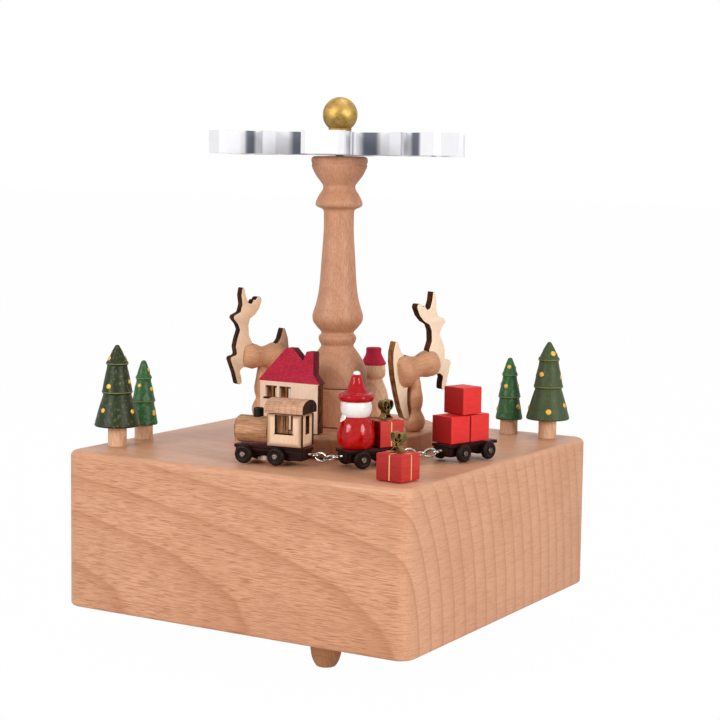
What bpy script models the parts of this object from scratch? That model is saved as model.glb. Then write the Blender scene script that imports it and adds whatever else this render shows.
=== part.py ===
"""Wooden music box with a turned column, a spinning snowflake and a train that circles on its lid.

Units are metres, +Z is up, and the origin is on the ground under the middle of the box.
The box's front is the -Y face and its right side is the +X face.
"""
import math

import bmesh
import bpy
from mathutils import Euler, Matrix, Vector

# Fits between pieces
GAP = 0.0003
RUNNING_GAP = 0.0004
SHARP_ANGLE = 40.0
SMALL_SEGMENTS = 16
ROUND_SEGMENTS = 18
FINE_SEGMENTS = 24
LARGE_SEGMENTS = 48
CORNER_STEPS = 4
LINK_SEGMENTS = 12
MERGE_DISTANCE = 0.000002

# Box and its bottom
FOOT_HEIGHT = 0.013
BOX_WIDTH = 0.120
BOX_HEIGHT = 0.048
BOX_WALL = 0.009
BOX_ROOF = 0.008
BOX_CORNER_RADIUS = 0.0047
BOX_EDGE_RADIUS = 0.0016
PLATE_LEDGE = 0.0052
PLATE_THICKNESS = 0.003
PLATE_RECESS = 0.0005
SOUND_HOLE_RADIUS = 0.007
SOUND_HOLE_PLACE = (0.0315, 0.0)
FOOT_RADIUS = 0.0049
FOOT_TIP_RADIUS = 0.0026
FOOT_SHANK = (0.97, 0.55)
FOOT_TAPER = (0.82, 0.17)
FOOT_TENON_RADIUS = 0.0025
FOOT_CIRCLE = 0.0385
FOOT_ANGLES = (-62.0, 58.0, 178.0)
SCREW_RADIUS = 0.0011
SCREW_TIP_RADIUS = 0.0003
SCREW_HEAD_RADIUS = 0.0017
SCREW_LENGTH = 0.008

# The train's circle, and the stage on the lid inside it
TRAIN_INSET = 0.0154
TRAIN_RADIUS = BOX_WIDTH / 2 - TRAIN_INSET
DISC_INSET = 0.0126
DISC_RADIUS = TRAIN_RADIUS - DISC_INSET
DISC_THICKNESS = 0.0058
DISC_EDGE_RADIUS = 0.0006
PEDESTAL_RADIUS = 0.0102
PEDESTAL_HEIGHT = 0.0117
PEDESTAL_TENON_RADIUS = 0.0042
PEDESTAL_TENON_DEPTH = 0.004
COLUMN_TENON_RADIUS = 0.004
COLUMN_TENON_DEPTH = 0.005
COLUMN_PROFILE = (
    (0.0078, 0.0715), (0.0087, 0.0709), (0.0087, 0.0696), (0.0081, 0.0672), (0.0072, 0.0653),
    (0.0050, 0.0625), (0.0052, 0.0612), (0.0061, 0.0598), (0.0073, 0.0570), (0.0069, 0.0560),
    (0.0052, 0.0551), (0.0047, 0.0542), (0.0047, 0.0486), (0.0053, 0.0393), (0.0058, 0.0318),
    (0.0065, 0.0271), (0.0079, 0.0224), (0.0077, 0.0205), (0.0064, 0.0186), (0.0051, 0.0167),
    (0.0059, 0.0148), (0.0051, 0.0125), (0.0068, 0.0101), (0.0081, 0.0082), (0.0091, 0.0050),
    (0.0093, 0.0000),
)

# Shaft, snowflake and ball at the top
SHAFT_RADIUS = 0.00125
SHAFT_BORE_RADIUS = 0.0017
ROTOR_RADIUS = 0.041
ROTOR_THICKNESS = 0.0068
ROTOR_ANGLE = -66.0
ROTOR_ARMS = 6
ROTOR_HUB_RADIUS = 0.0125
ROTOR_STEM_WIDTH = 0.0052
ROTOR_TIP_WIDTH = 0.0126
ROTOR_TIP_DEPTH = 0.0062
ROTOR_CHAMFER = 0.00155
ROTOR_BRANCH_WIDTH = 0.0135
ROTOR_BRANCH_DEPTH = 0.0045
ROTOR_BRANCH_MIDDLE = 0.0245
BALL_RADIUS = 0.0054
BALL_NECK_RADIUS = 0.0035
BALL_NECK_HEIGHT = 0.0006

# House on the stage
PLY_THICKNESS = 0.0031
HOUSE_INSET = 0.0079
HOUSE_FRONT = DISC_RADIUS - HOUSE_INSET
HOUSE_OUTLINE = (
    (-0.0129, 0.0), (0.0080, 0.0), (0.0080, 0.0148), (0.0086, 0.0151), (0.0063, 0.0179),
    (0.0063, 0.0248), (0.0038, 0.0248), (0.0026, 0.0219), (-0.0010, 0.0255), (-0.0034, 0.0255),
    (-0.0135, 0.0151), (-0.0129, 0.0148),
)
WINDOW_WIDTH = 0.0042
WINDOW_HEIGHT = 0.0040
WINDOW_SILL = 0.0100
WINDOW_MIDDLES = (-0.0088, -0.0038)

# Reindeer, in a plane through the post, x towards the nose and z up from the stage
DEER_INSET = 0.0049
DEER_CIRCLE = DISC_RADIUS - DEER_INSET
DEER_PLACES = {"left": 183.0, "right": 3.0}
DEER_HEADINGS = {"left": 242.6, "right": 62.6}
DEER_PITCH = {"left": 0.0, "right": 6.0}
DEER_POST_PROFILE = (
    (0.0018, 0.0143), (0.0024, 0.0110), (0.0027, 0.0083), (0.0026, 0.0062), (0.0023, 0.0043),
    (0.0031, 0.0027), (0.0034, 0.0017), (0.0030, 0.0007), (0.0022, 0.0),
)
DEER_TENON_RADIUS = 0.0010
DEER_TENON_LENGTH = 0.0018
DEER_BODY_PROFILE = (
    (0.0034, 0.0078), (0.0041, 0.0066), (0.0042, 0.0048), (0.0039, 0.0028), (0.0037, 0.0012),
    (0.0040, -0.0010), (0.0048, -0.0030), (0.0052, -0.0046), (0.0050, -0.0060), (0.0044, -0.0068),
)
DEER_BODY_HEIGHT = 0.0194
DEER_BODY_TILT = 6.0
DEER_SLOT_FRONT = 0.0042
DEER_SLOT_REAR = -0.0036
DEER_FRONT_OUTLINE = (
    (0.0047, 0.0164), (0.0080, 0.0165), (0.0092, 0.0154), (0.0086, 0.0135), (0.0083, 0.0114),
    (0.0098, 0.0110), (0.0108, 0.0148), (0.0125, 0.0193), (0.0122, 0.0200), (0.0101, 0.0206),
    (0.0106, 0.0232), (0.0101, 0.0255), (0.0091, 0.0285), (0.0098, 0.0303), (0.0115, 0.0322),
    (0.0112, 0.0331), (0.0090, 0.0341), (0.0083, 0.0365), (0.0087, 0.0395), (0.0083, 0.0418),
    (0.0077, 0.0419), (0.0071, 0.0393), (0.0061, 0.0369), (0.0050, 0.0366), (0.0035, 0.0385),
    (0.0023, 0.0387), (0.0019, 0.0376), (0.0027, 0.0353), (0.0040, 0.0335), (0.0056, 0.0322),
    (0.0061, 0.0300), (0.0059, 0.0268), (0.0047, 0.0243),
)
DEER_REAR_OUTLINE = (
    (-0.0041, 0.0232), (-0.0055, 0.0250), (-0.0065, 0.0284), (-0.0072, 0.0285), (-0.0083, 0.0255),
    (-0.0087, 0.0222), (-0.0086, 0.0180), (-0.0080, 0.0130), (-0.0072, 0.0080), (-0.0062, 0.0046),
    (-0.0045, 0.0040), (-0.0043, 0.0050), (-0.0047, 0.0090), (-0.0044, 0.0125), (-0.0041, 0.0150),
)

# Small turned figure at the back of the stage
PEG_INSET = 0.0092
PEG_PLACE = (0.0, DISC_RADIUS - PEG_INSET)
PEG_PROFILE = (
    (0.0025, 0.0222), (0.0025, 0.0203), (0.0033, 0.0186), (0.0041, 0.0172), (0.0041, 0.0168),
    (0.0036, 0.0166), (0.0039, 0.0148), (0.0038, 0.0131), (0.0029, 0.0120), (0.0034, 0.0108),
    (0.0045, 0.0080), (0.0052, 0.0040), (0.0052, 0.0008), (0.0048, 0.0),
)

# Trees, each placed by its distance in from the lid's edges
TREE_TRUNK_RADIUS = 0.0029
TREE_TRUNK_DEPTH = 0.003
TREE_TIP_RADIUS = 0.0006
TREE_STEP = 0.76
TREE_RIM_ROUNDING = 0.0007
BIG_TREE_HEIGHT = 0.0313
BIG_TREE_TIERS = ((0.0030, 0.0255), (0.0045, 0.0168), (0.0070, 0.0062))
SMALL_TREE_HEIGHT = 0.0250
SMALL_TREE_TIERS = ((0.0020, 0.0195), (0.0033, 0.0120), (0.0044, 0.0047))
BIG_TREE_LEFT_INSET = (0.0071, 0.0167)
SMALL_TREE_LEFT_INSET = (0.0048, 0.0330)
SMALL_TREE_BACK_INSET = (0.0255, 0.0070)
BIG_TREE_BACK_INSET = (0.0105, 0.0093)

# Presents and blocks
PAINTED_EDGE = 0.0003
GIFT_WIDTH = 0.0088
GIFT_HEIGHT = 0.0076
GIFT_INSET = (0.0104, 0.0117)
GIFT_TURN = -7.0
BOW_WIDTH = 0.0040
BOW_HEIGHT = 0.0056
BOW_STRIP = 0.0026
BOW_SHEET = 0.0007
BOW_SHORT_END = 0.8
BOW_CURL = 0.5

# Train: all vehicles share the chassis height, the wheels and the axles. A step is the angle from the
# vehicle ahead, on a circle of STEP_RADIUS; it keeps its length along the train's own circle
STEP_RADIUS = 0.0446
TRAIN_ANGLE = -82.8
WHEEL_RADIUS = 0.00265
WHEEL_WIDTH = 0.0017
WHEEL_CLEARANCE = 0.0002
WHEEL_HUB_RADIUS = 0.0010
WHEEL_HUB_PROUD = 0.0002
WHEEL_CHAMFER = 0.00033
AXLE_RADIUS = 0.0006
CHASSIS_TOP = 0.0056
CHASSIS_BOTTOM = 0.0018
CHASSIS_WIDTH = 0.0060
DECK_THICKNESS = 0.0010
LOCO_LENGTH = 0.0230
LOCO_AXLES = (0.0076, -0.0029)
LOCO_GAUGE = 0.0070
BOILER_RADIUS = 0.0040
BOILER_NOSE_RADIUS = 0.0037
BOILER_NOSE_DEPTH = 0.00043
BOILER_LENGTH = 0.0107
BOILER_FRONT = 0.0112
CHIMNEY_RADIUS = 0.0015
CHIMNEY_HEIGHT = 0.0030
CHIMNEY_PLACE = 0.0044
CAB_WIDTH = 0.0084
CAB_LENGTH = 0.0110
CAB_HEIGHT = 0.0094
CAB_WALL = 0.0014
CAB_WINDOW_LENGTH = 0.0056
CAB_WINDOW_HEIGHT = 0.0050
CAB_REAR_WINDOW_WIDTH = 0.0026
CAB_WINDOW_SILL = 0.0036
CAB_WINDOW_BACK = 0.0003
ROOF_OVERHANG = 0.0007
ROOF_RISE = 0.0040
ROOF_SIDE = 0.0014
WAGON_WIDTH = 0.0076
WAGON_1_LENGTH = 0.0190
WAGON_1_AXLES = (0.0052, -0.0056)
WAGON_1_RADIUS = TRAIN_RADIUS + 0.0001
WAGON_1_STEP = 36.9
WAGON_1_ANGLE = TRAIN_ANGLE + WAGON_1_STEP * STEP_RADIUS / TRAIN_RADIUS
WAGON_1_YAW = 16.0
WAGON_2_LENGTH = 0.0204
WAGON_2_AXLES = (0.0054, -0.0052)
WAGON_2_RADIUS = TRAIN_RADIUS + 0.0036
WAGON_2_STEP = 40.2
WAGON_2_ANGLE = WAGON_1_ANGLE + WAGON_2_STEP * STEP_RADIUS / TRAIN_RADIUS
WAGON_2_YAW = -11.0
FIGURE_PLACE = 0.0048
FIGURE_PROFILE = (
    (0.0008, 0.0222), (0.0015, 0.0212), (0.0021, 0.0190), (0.0032, 0.0165), (0.0038, 0.0158),
    (0.0049, 0.0155), (0.0051, 0.0147), (0.0049, 0.0138), (0.0042, 0.0135), (0.0045, 0.0118),
    (0.0043, 0.0100), (0.0037, 0.0092), (0.0045, 0.0082), (0.0053, 0.0060), (0.0055, 0.0036),
    (0.0051, 0.0014), (0.0042, 0.0),
)
WAGON_GIFT_WIDTH = 0.0080
WAGON_GIFT_PLACE = -0.0050
BLOCK_WIDTH = 0.0080
BLOCK_PLACES = ((0.0060, 0.0), (-0.0023, 0.0), (0.0012, 1.0))

# Couplings between the vehicles
LINK_WIRE = 0.00032
LINK_HALF_WIDTH = 0.0008
EYE_RADIUS = 0.0010
EYE_SHANK_RADIUS = 0.0004
EYE_REACH = 0.0020
EYE_HEIGHT = 0.0036
LINK_ROLLS = (63.0, -31.0)
LINK_PITCH = 0.0024
SHANK_SEGMENTS = 8

# Magnets under the lid and in the locomotive
MAGNET_RADIUS = 0.0024
MAGNET_THICKNESS = 0.0016
ARM_MAGNET_RADIUS = 0.0040
ARM_MAGNET_THICKNESS = 0.0022
ARM_WIDTH = 0.006
ARM_THICKNESS = 0.0040
ARM_PAD_RADIUS = 0.0056
ARM_TAIL_LENGTH = 0.016
ARM_HUB_RADIUS = 0.0038
ARM_HUB_BORE = 0.0018
ARM_LID_GAP = 0.0016

# Movement
GEAR_MODULE = 0.001
GEAR_THICKNESS = 0.002
SLOW_TEETH = 24
FAST_TEETH = 38
PINION_TEETH = 10
TOOTH_FILL = 0.84
GEAR_ADDENDUM = 0.80
GEAR_DEDENDUM = 1.15
PRESSURE_ANGLE = 20.0
BEDPLATE_THICKNESS = 0.0018
BEDPLATE_MARGIN = 0.0015
BARREL_RADIUS = 0.0132
BARREL_HEIGHT = 0.0084
CROWN_TEETH = 30
CROWN_WIDTH = 0.0022
CROWN_HEIGHT = 0.0011
CROWN_TOOTH = 0.0009
CROWN_PINION_TEETH = 10
CROWN_PINION_TIP = 0.0044
CROWN_PINION_ROOT = 0.0031
CROWN_PINION_TOOTH = 0.0009
CYLINDER_RADIUS = 0.0052
CYLINDER_LENGTH = 0.020
CYLINDER_ARBOR_RADIUS = 0.0009
BEARING_THICKNESS = 0.0018
BEARING_WIDTH = 0.0056
COMB_BASE_WIDTH = 0.006
COMB_THICKNESS = 0.0012
COMB_TINES = 18
COMB_TINE_LENGTH = 0.0088
COMB_SLIT = 0.0004
GOVERNOR_RADIUS = 0.0042
GOVERNOR_ARBOR_RADIUS = 0.0007
GOVERNOR_BLADE = 0.0006
GOVERNOR_BLADE_HEIGHT = 0.005
GOVERNOR_DISTANCE = 0.012
GOVERNOR_HEIGHT = 0.020
WORM_LOW = 0.35
WORM_HIGH = 0.6
KEY_SPAN = 0.0155
KEY_HEIGHT = 0.0075
KEY_THICKNESS = 0.0020
KEY_WAIST_LOW = 0.25
KEY_WAIST_HIGH = 0.8
KEY_ARBOR_RADIUS = 0.0018
KEY_GROUND_GAP = 0.0022

# Heights and places that follow from the sizes above
BOX_HALF = BOX_WIDTH / 2
LID = FOOT_HEIGHT + BOX_HEIGHT
CAVITY_TOP = LID - BOX_ROOF
CAVITY_HALF = BOX_HALF - BOX_WALL
PLATE_BOTTOM = FOOT_HEIGHT + PLATE_RECESS
PLATE_TOP = PLATE_BOTTOM + PLATE_THICKNESS
STAGE = LID + GAP + DISC_THICKNESS
COLUMN_FOOT = STAGE + GAP + PEDESTAL_HEIGHT + GAP
COLUMN_TOP = COLUMN_FOOT + COLUMN_PROFILE[0][1]
ROTOR_BOTTOM = COLUMN_TOP + RUNNING_GAP
ROTOR_TOP = ROTOR_BOTTOM + ROTOR_THICKNESS
BED_BOTTOM = PLATE_TOP + GAP
BED_TOP = BED_BOTTOM + BEDPLATE_THICKNESS
FAST_BOTTOM = BED_TOP + 2 * GAP
SLOW_BOTTOM = FAST_BOTTOM + GEAR_THICKNESS + 3 * GAP
BARREL_DISTANCE = GEAR_MODULE * SLOW_TEETH
BARREL_PLACE = (-BARREL_DISTANCE, 0.0)
BARREL_BOTTOM = SLOW_BOTTOM + GEAR_THICKNESS + RUNNING_GAP
BARREL_TOP = BARREL_BOTTOM + BARREL_HEIGHT
CROWN_TOP = BARREL_TOP + CROWN_HEIGHT
CYLINDER_AXIS = BARREL_TOP + GAP / 2 + CROWN_PINION_TIP
ARM_TOP = CAVITY_TOP - ARM_LID_GAP
ARM_BOTTOM = ARM_TOP - ARM_THICKNESS

PARTS = "wooden_music_box"
CUTTERS = "cutters"


def start_empty_scene():
    """Remove every object, and make one collection for the parts and one for the cutters."""
    for leftover in list(bpy.data.objects):
        bpy.data.objects.remove(leftover, do_unlink=True)
    for name in (PARTS, CUTTERS):
        group = bpy.data.collections.new(name)
        bpy.context.scene.collection.children.link(group)


def paint(name, colour, roughness, metallic=0.0):
    """Return the named Principled material, made on first use."""
    made = bpy.data.materials.get(name)
    if made is None:
        made = bpy.data.materials.new(name)
        made.use_nodes = True
        shader = made.node_tree.nodes["Principled BSDF"]
        shader.inputs["Base Color"].default_value = (*colour, 1.0)
        shader.inputs["Roughness"].default_value = roughness
        shader.inputs["Metallic"].default_value = metallic
    return made


def beech():
    return paint("beech", (0.62, 0.38, 0.22), 0.45)


def ply():
    return paint("ply", (0.80, 0.62, 0.42), 0.55)


def green():
    return paint("green_paint", (0.05, 0.14, 0.06), 0.3)


def red():
    return paint("red_paint", (0.55, 0.03, 0.04), 0.3)


def dark_wood():
    return paint("dark_wood", (0.05, 0.03, 0.02), 0.5)


def white():
    return paint("white_paint", (0.85, 0.85, 0.85), 0.4)


def black():
    return paint("black_paint", (0.02, 0.02, 0.02), 0.4)


def steel():
    return paint("steel", (0.55, 0.55, 0.56), 0.3, 1.0)


def brass():
    return paint("brass", (0.75, 0.55, 0.25), 0.3, 1.0)


def gold():
    return paint("gold_paint", (0.55, 0.38, 0.12), 0.4, 0.6)


def magnet_coat():
    return paint("nickel", (0.6, 0.6, 0.6), 0.25, 1.0)


def add_object(name, data, material, group=PARTS):
    """Link a new object that holds the mesh or curve."""
    made = bpy.data.objects.new(name, data)
    if material is not None:
        data.materials.append(material)
    bpy.data.collections[group].objects.link(made)
    if group == CUTTERS:
        made.hide_render = True
        made.display_type = "WIRE"
    return made


def place(piece, location, turn=0.0):
    """Set a piece's location, and its turn about Z in degrees."""
    piece.location = location
    piece.rotation_euler = Euler((0.0, 0.0, math.radians(turn)))
    return piece


def turned(name, profile, material, group=PARTS, segments=ROUND_SEGMENTS, ring=False):
    """Turn a profile of (radius, height) pairs, given from the top down, about Z."""
    points = [(radius, 0.0, height) for radius, height in profile]
    if not ring and profile[0][0] > 0.0:
        points.insert(0, (0.0, 0.0, profile[0][1]))
    if not ring and profile[-1][0] > 0.0:
        points.append((0.0, 0.0, profile[-1][1]))
    edges = [(index, index + 1) for index in range(len(points) - 1)]
    if ring:
        edges.append((len(points) - 1, 0))
    mesh = bpy.data.meshes.new(name)
    mesh.from_pydata(points, edges, [])
    piece = add_object(name, mesh, material, group)
    screw = piece.modifiers.new("turn", "SCREW")
    screw.axis = "Z"
    screw.angle = math.tau
    screw.steps = segments
    screw.render_steps = segments
    screw.use_merge_vertices = True
    screw.merge_threshold = MERGE_DISTANCE
    screw.use_smooth_shade = True
    return piece


def bored_profile(profile, bore, foot_radius=None, foot_depth=0.0):
    """Close a profile into a ring round a bore, with a tenon below its foot when one is given."""
    points = list(profile)
    bottom = points[-1][1]
    if foot_radius is not None:
        points += [(foot_radius, bottom), (foot_radius, bottom - foot_depth)]
        bottom -= foot_depth
    points += [(bore, bottom), (bore, points[0][1])]
    return points


def cylinder(name, radius, bottom, top, material, group=PARTS, segments=ROUND_SEGMENTS):
    """A plain cylinder about Z."""
    mesh = bpy.data.meshes.new(name)
    form = bmesh.new()
    middle = Matrix.Translation((0.0, 0.0, (bottom + top) / 2))
    bmesh.ops.create_cone(form, cap_ends=True, segments=segments, radius1=radius, radius2=radius,
                          depth=top - bottom, matrix=middle)
    form.to_mesh(mesh)
    form.free()
    mesh.shade_smooth()
    mesh.set_sharp_from_angle(angle=math.radians(SHARP_ANGLE))
    return add_object(name, mesh, material, group)


def block(name, size, material, group=PARTS, edge=0.0, edge_segments=1):
    """A box centred on its origin, its edges rounded when an edge radius is given."""
    mesh = bpy.data.meshes.new(name)
    form = bmesh.new()
    bmesh.ops.create_cube(form, size=1.0)
    bmesh.ops.scale(form, vec=size, verts=form.verts)
    form.to_mesh(mesh)
    form.free()
    piece = add_object(name, mesh, material, group)
    if edge > 0.0:
        bevel = piece.modifiers.new("edges", "BEVEL")
        bevel.width = edge
        bevel.segments = edge_segments
        bevel.limit_method = "ANGLE"
    return piece


def span_block(name, low, high, material, group=PARTS):
    """A box from its lowest to its highest corner."""
    low = Vector(low)
    high = Vector(high)
    piece = block(name, high - low, material, group)
    piece.location = (low + high) / 2
    return piece


def mesh_of(name, curve):
    """Turn a curve into a welded mesh, and dissolve the edges inside its flat faces."""
    drawing = add_object(name + "_curve", curve, None, CUTTERS)
    bpy.context.view_layer.update()
    evaluated = drawing.evaluated_get(bpy.context.evaluated_depsgraph_get())
    mesh = bpy.data.meshes.new_from_object(evaluated)
    mesh.name = name
    bpy.data.objects.remove(drawing, do_unlink=True)
    form = bmesh.new()
    form.from_mesh(mesh)
    bmesh.ops.remove_doubles(form, verts=form.verts, dist=MERGE_DISTANCE)
    bmesh.ops.dissolve_limit(form, angle_limit=math.radians(0.2), verts=form.verts, edges=form.edges)
    bmesh.ops.recalc_face_normals(form, faces=form.faces)
    form.to_mesh(mesh)
    form.free()
    return mesh


def plate(name, outline, thickness, material, group=PARTS):
    """A flat plate with the given outline, its bottom at z = 0."""
    curve = bpy.data.curves.new(name, "CURVE")
    curve.dimensions = "2D"
    curve.fill_mode = "BOTH"
    curve.extrude = thickness / 2
    spline = curve.splines.new("POLY")
    spline.points.add(len(outline) - 1)
    for point, (across, along) in zip(spline.points, outline):
        point.co = (across, along, 0.0, 1.0)
    spline.use_cyclic_u = True
    mesh = mesh_of(name, curve)
    mesh.transform(Matrix.Translation((0.0, 0.0, thickness / 2)))
    return add_object(name, mesh, material, group)


def combine(piece, tool, operation):
    """Cut a tool out of a piece, or join it on."""
    boolean = piece.modifiers.new(operation.lower() + "_" + tool.name, "BOOLEAN")
    boolean.operation = operation
    boolean.solver = "EXACT"
    boolean.object = tool


def cut(piece, *tools):
    for tool in tools:
        combine(piece, tool, "DIFFERENCE")


def join(piece, *tools):
    for tool in tools:
        combine(piece, tool, "UNION")


def parented(piece, parent):
    """Hang a piece from a parent without moving it from its local place."""
    piece.parent = parent
    return piece


def anchor(name, location, turn=0.0):
    """An empty on a joint's axis or at a vehicle's middle."""
    empty = bpy.data.objects.new(name, None)
    empty.empty_display_size = 0.005
    bpy.data.collections[PARTS].objects.link(empty)
    return place(empty, location, turn)


def rounded_square(half, radius, steps):
    """A square outline with round corners."""
    points = []
    for corner in range(4):
        start = corner * math.pi / 2
        middle = half - radius
        centre_x = middle if corner in (0, 3) else -middle
        centre_y = middle if corner in (0, 1) else -middle
        for step in range(steps + 1):
            angle = start + math.pi / 2 * step / steps
            points.append((centre_x + radius * math.cos(angle), centre_y + radius * math.sin(angle)))
    return points


def polar(radius, degrees):
    """A point on a circle about the column's axis."""
    angle = math.radians(degrees)
    return radius * math.cos(angle), radius * math.sin(angle)


def build_base():
    """The hollow beech block, open below, with its ledge for the bottom plate."""
    base = plate("base_block", rounded_square(BOX_HALF, BOX_CORNER_RADIUS, CORNER_STEPS), BOX_HEIGHT, beech())
    base.location.z = FOOT_HEIGHT
    bevel = base.modifiers.new("edges", "BEVEL")
    bevel.width = BOX_EDGE_RADIUS
    bevel.segments = 2
    bevel.limit_method = "ANGLE"
    bevel.angle_limit = math.radians(60)
    low = FOOT_HEIGHT - BOX_EDGE_RADIUS
    ledge_half = CAVITY_HALF + PLATE_LEDGE
    cavity = span_block("cavity", (-CAVITY_HALF, -CAVITY_HALF, low),
                        (CAVITY_HALF, CAVITY_HALF, CAVITY_TOP), None, CUTTERS)
    ledge = span_block("ledge", (-ledge_half, -ledge_half, low),
                       (ledge_half, ledge_half, PLATE_TOP + GAP), None, CUTTERS)
    bore = cylinder("lid_bore", SHAFT_BORE_RADIUS, CAVITY_TOP - GAP, LID + GAP, None, CUTTERS,
                    SMALL_SEGMENTS)
    socket_depth = LID + GAP - PEDESTAL_TENON_DEPTH
    socket = cylinder("lid_socket", PEDESTAL_TENON_RADIUS + GAP, socket_depth, LID + GAP, None,
                      CUTTERS)
    cut(base, cavity, ledge, bore, socket)
    for name, inset_x, inset_y in tree_places():
        hole = cylinder(name + "_hole", TREE_TRUNK_RADIUS + GAP, LID - TREE_TRUNK_DEPTH - GAP,
                        LID + GAP, None, CUTTERS, SMALL_SEGMENTS)
        hole.location.x = inset_x
        hole.location.y = inset_y
        cut(base, hole)
    for index, spot in enumerate(screw_places()):
        hole = cylinder("screw_hole_%d" % (index + 1), SCREW_RADIUS + GAP, PLATE_BOTTOM,
                        PLATE_BOTTOM + SCREW_LENGTH + GAP, None, CUTTERS, SMALL_SEGMENTS)
        hole.location.x, hole.location.y = spot
        cut(base, hole)


def screw_places():
    """The bottom plate's two screws, in the middle of opposite ledges."""
    reach = CAVITY_HALF + PLATE_LEDGE / 2
    return (reach, 0.0), (-reach, 0.0)


def foot_places():
    return [polar(FOOT_CIRCLE, angle) for angle in FOOT_ANGLES]


def build_bottom():
    """The bottom plate, its screws and the three feet."""
    half = CAVITY_HALF + PLATE_LEDGE - GAP
    bottom = span_block("bottom_plate", (-half, -half, PLATE_BOTTOM), (half, half, PLATE_TOP), ply())
    key_hole = cylinder("key_hole", KEY_ARBOR_RADIUS + 2 * GAP, PLATE_BOTTOM - GAP, PLATE_TOP + GAP,
                        None, CUTTERS, SMALL_SEGMENTS)
    key_hole.location.x, key_hole.location.y = BARREL_PLACE
    sound_hole = cylinder("sound_hole", SOUND_HOLE_RADIUS, PLATE_BOTTOM - GAP, PLATE_TOP + GAP, None, CUTTERS)
    sound_hole.location.x, sound_hole.location.y = SOUND_HOLE_PLACE
    cut(bottom, key_hole, sound_hole)
    head = SCREW_HEAD_RADIUS - SCREW_RADIUS
    for index, spot in enumerate(screw_places()):
        top = PLATE_BOTTOM + SCREW_LENGTH
        screw = turned("plate_screw_%d" % (index + 1),
                       ((SCREW_TIP_RADIUS, top), (SCREW_RADIUS, top - 2 * SCREW_RADIUS),
                        (SCREW_RADIUS, PLATE_BOTTOM + head), (SCREW_HEAD_RADIUS, PLATE_BOTTOM)),
                       steel(), segments=SMALL_SEGMENTS)
        screw.location.x, screw.location.y = spot
        sink = turned("screw_sink_%d" % (index + 1),
                      ((SCREW_RADIUS + GAP, PLATE_TOP + GAP), (SCREW_RADIUS + GAP, PLATE_BOTTOM + head),
                       (SCREW_HEAD_RADIUS + GAP, PLATE_BOTTOM),
                       (SCREW_HEAD_RADIUS + GAP, PLATE_BOTTOM - GAP)),
                      None, CUTTERS, SMALL_SEGMENTS)
        sink.location.x, sink.location.y = spot
        cut(bottom, sink)
    for index, spot in enumerate(foot_places()):
        shoulder = PLATE_BOTTOM - GAP
        tenon_top = PLATE_TOP - GAP
        foot = turned("foot_peg_%d" % (index + 1),
                      ((FOOT_TENON_RADIUS, tenon_top), (FOOT_TENON_RADIUS, shoulder),
                       (FOOT_RADIUS, shoulder),
                       (FOOT_RADIUS * FOOT_SHANK[0], FOOT_HEIGHT * FOOT_SHANK[1]),
                       (FOOT_RADIUS * FOOT_TAPER[0], FOOT_HEIGHT * FOOT_TAPER[1]), (FOOT_TIP_RADIUS, 0.0)),
                      beech())
        foot.location.x, foot.location.y = spot
        hole = cylinder("foot_hole_%d" % (index + 1), FOOT_TENON_RADIUS + GAP, PLATE_BOTTOM - GAP,
                        PLATE_TOP + GAP, None, CUTTERS)
        hole.location.x, hole.location.y = spot
        cut(bottom, hole)


def build_column():
    """The stage disc, the pedestal and the turned column, all bored for the shaft."""
    disc_bottom = LID + GAP
    turned("stage_disc",
           ((DISC_RADIUS - DISC_EDGE_RADIUS, STAGE), (DISC_RADIUS, STAGE - DISC_EDGE_RADIUS),
            (DISC_RADIUS, disc_bottom + DISC_EDGE_RADIUS),
            (DISC_RADIUS - DISC_EDGE_RADIUS, disc_bottom),
            (PEDESTAL_TENON_RADIUS + GAP, disc_bottom), (PEDESTAL_TENON_RADIUS + GAP, STAGE)),
           beech(), segments=LARGE_SEGMENTS, ring=True)
    foot = STAGE + GAP
    top = foot + PEDESTAL_HEIGHT
    socket_floor = top - COLUMN_TENON_DEPTH - GAP
    tenon_bottom = LID + 2 * GAP - PEDESTAL_TENON_DEPTH
    turned("pedestal",
           ((PEDESTAL_RADIUS, top), (PEDESTAL_RADIUS, foot), (PEDESTAL_TENON_RADIUS, foot),
            (PEDESTAL_TENON_RADIUS, tenon_bottom), (SHAFT_BORE_RADIUS, tenon_bottom),
            (SHAFT_BORE_RADIUS, socket_floor), (COLUMN_TENON_RADIUS + GAP, socket_floor),
            (COLUMN_TENON_RADIUS + GAP, top)),
           beech(), ring=True)
    column = turned("column", bored_profile(COLUMN_PROFILE, SHAFT_BORE_RADIUS, COLUMN_TENON_RADIUS,
                                            COLUMN_TENON_DEPTH), beech(),
                    segments=FINE_SEGMENTS, ring=True)
    column.location.z = COLUMN_FOOT


def snowflake_arm():
    """One arm's right-hand outline from hub to tip and back, along +X."""
    stem = ROTOR_STEM_WIDTH / 2
    branch = ROTOR_BRANCH_WIDTH / 2
    tip = ROTOR_TIP_WIDTH / 2
    branch_in = ROTOR_BRANCH_MIDDLE - ROTOR_BRANCH_DEPTH / 2
    branch_out = ROTOR_BRANCH_MIDDLE + ROTOR_BRANCH_DEPTH / 2
    tip_in = ROTOR_RADIUS - ROTOR_TIP_DEPTH
    chamfer = ROTOR_CHAMFER
    side = [(branch_in, stem), (branch_in + chamfer, branch), (branch_out + chamfer, branch),
            (branch_out, stem), (tip_in, stem), (tip_in, tip), (ROTOR_RADIUS - chamfer, tip),
            (ROTOR_RADIUS, tip - chamfer)]
    return [(x, -y) for x, y in side] + [(x, y) for x, y in reversed(side)]


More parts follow.
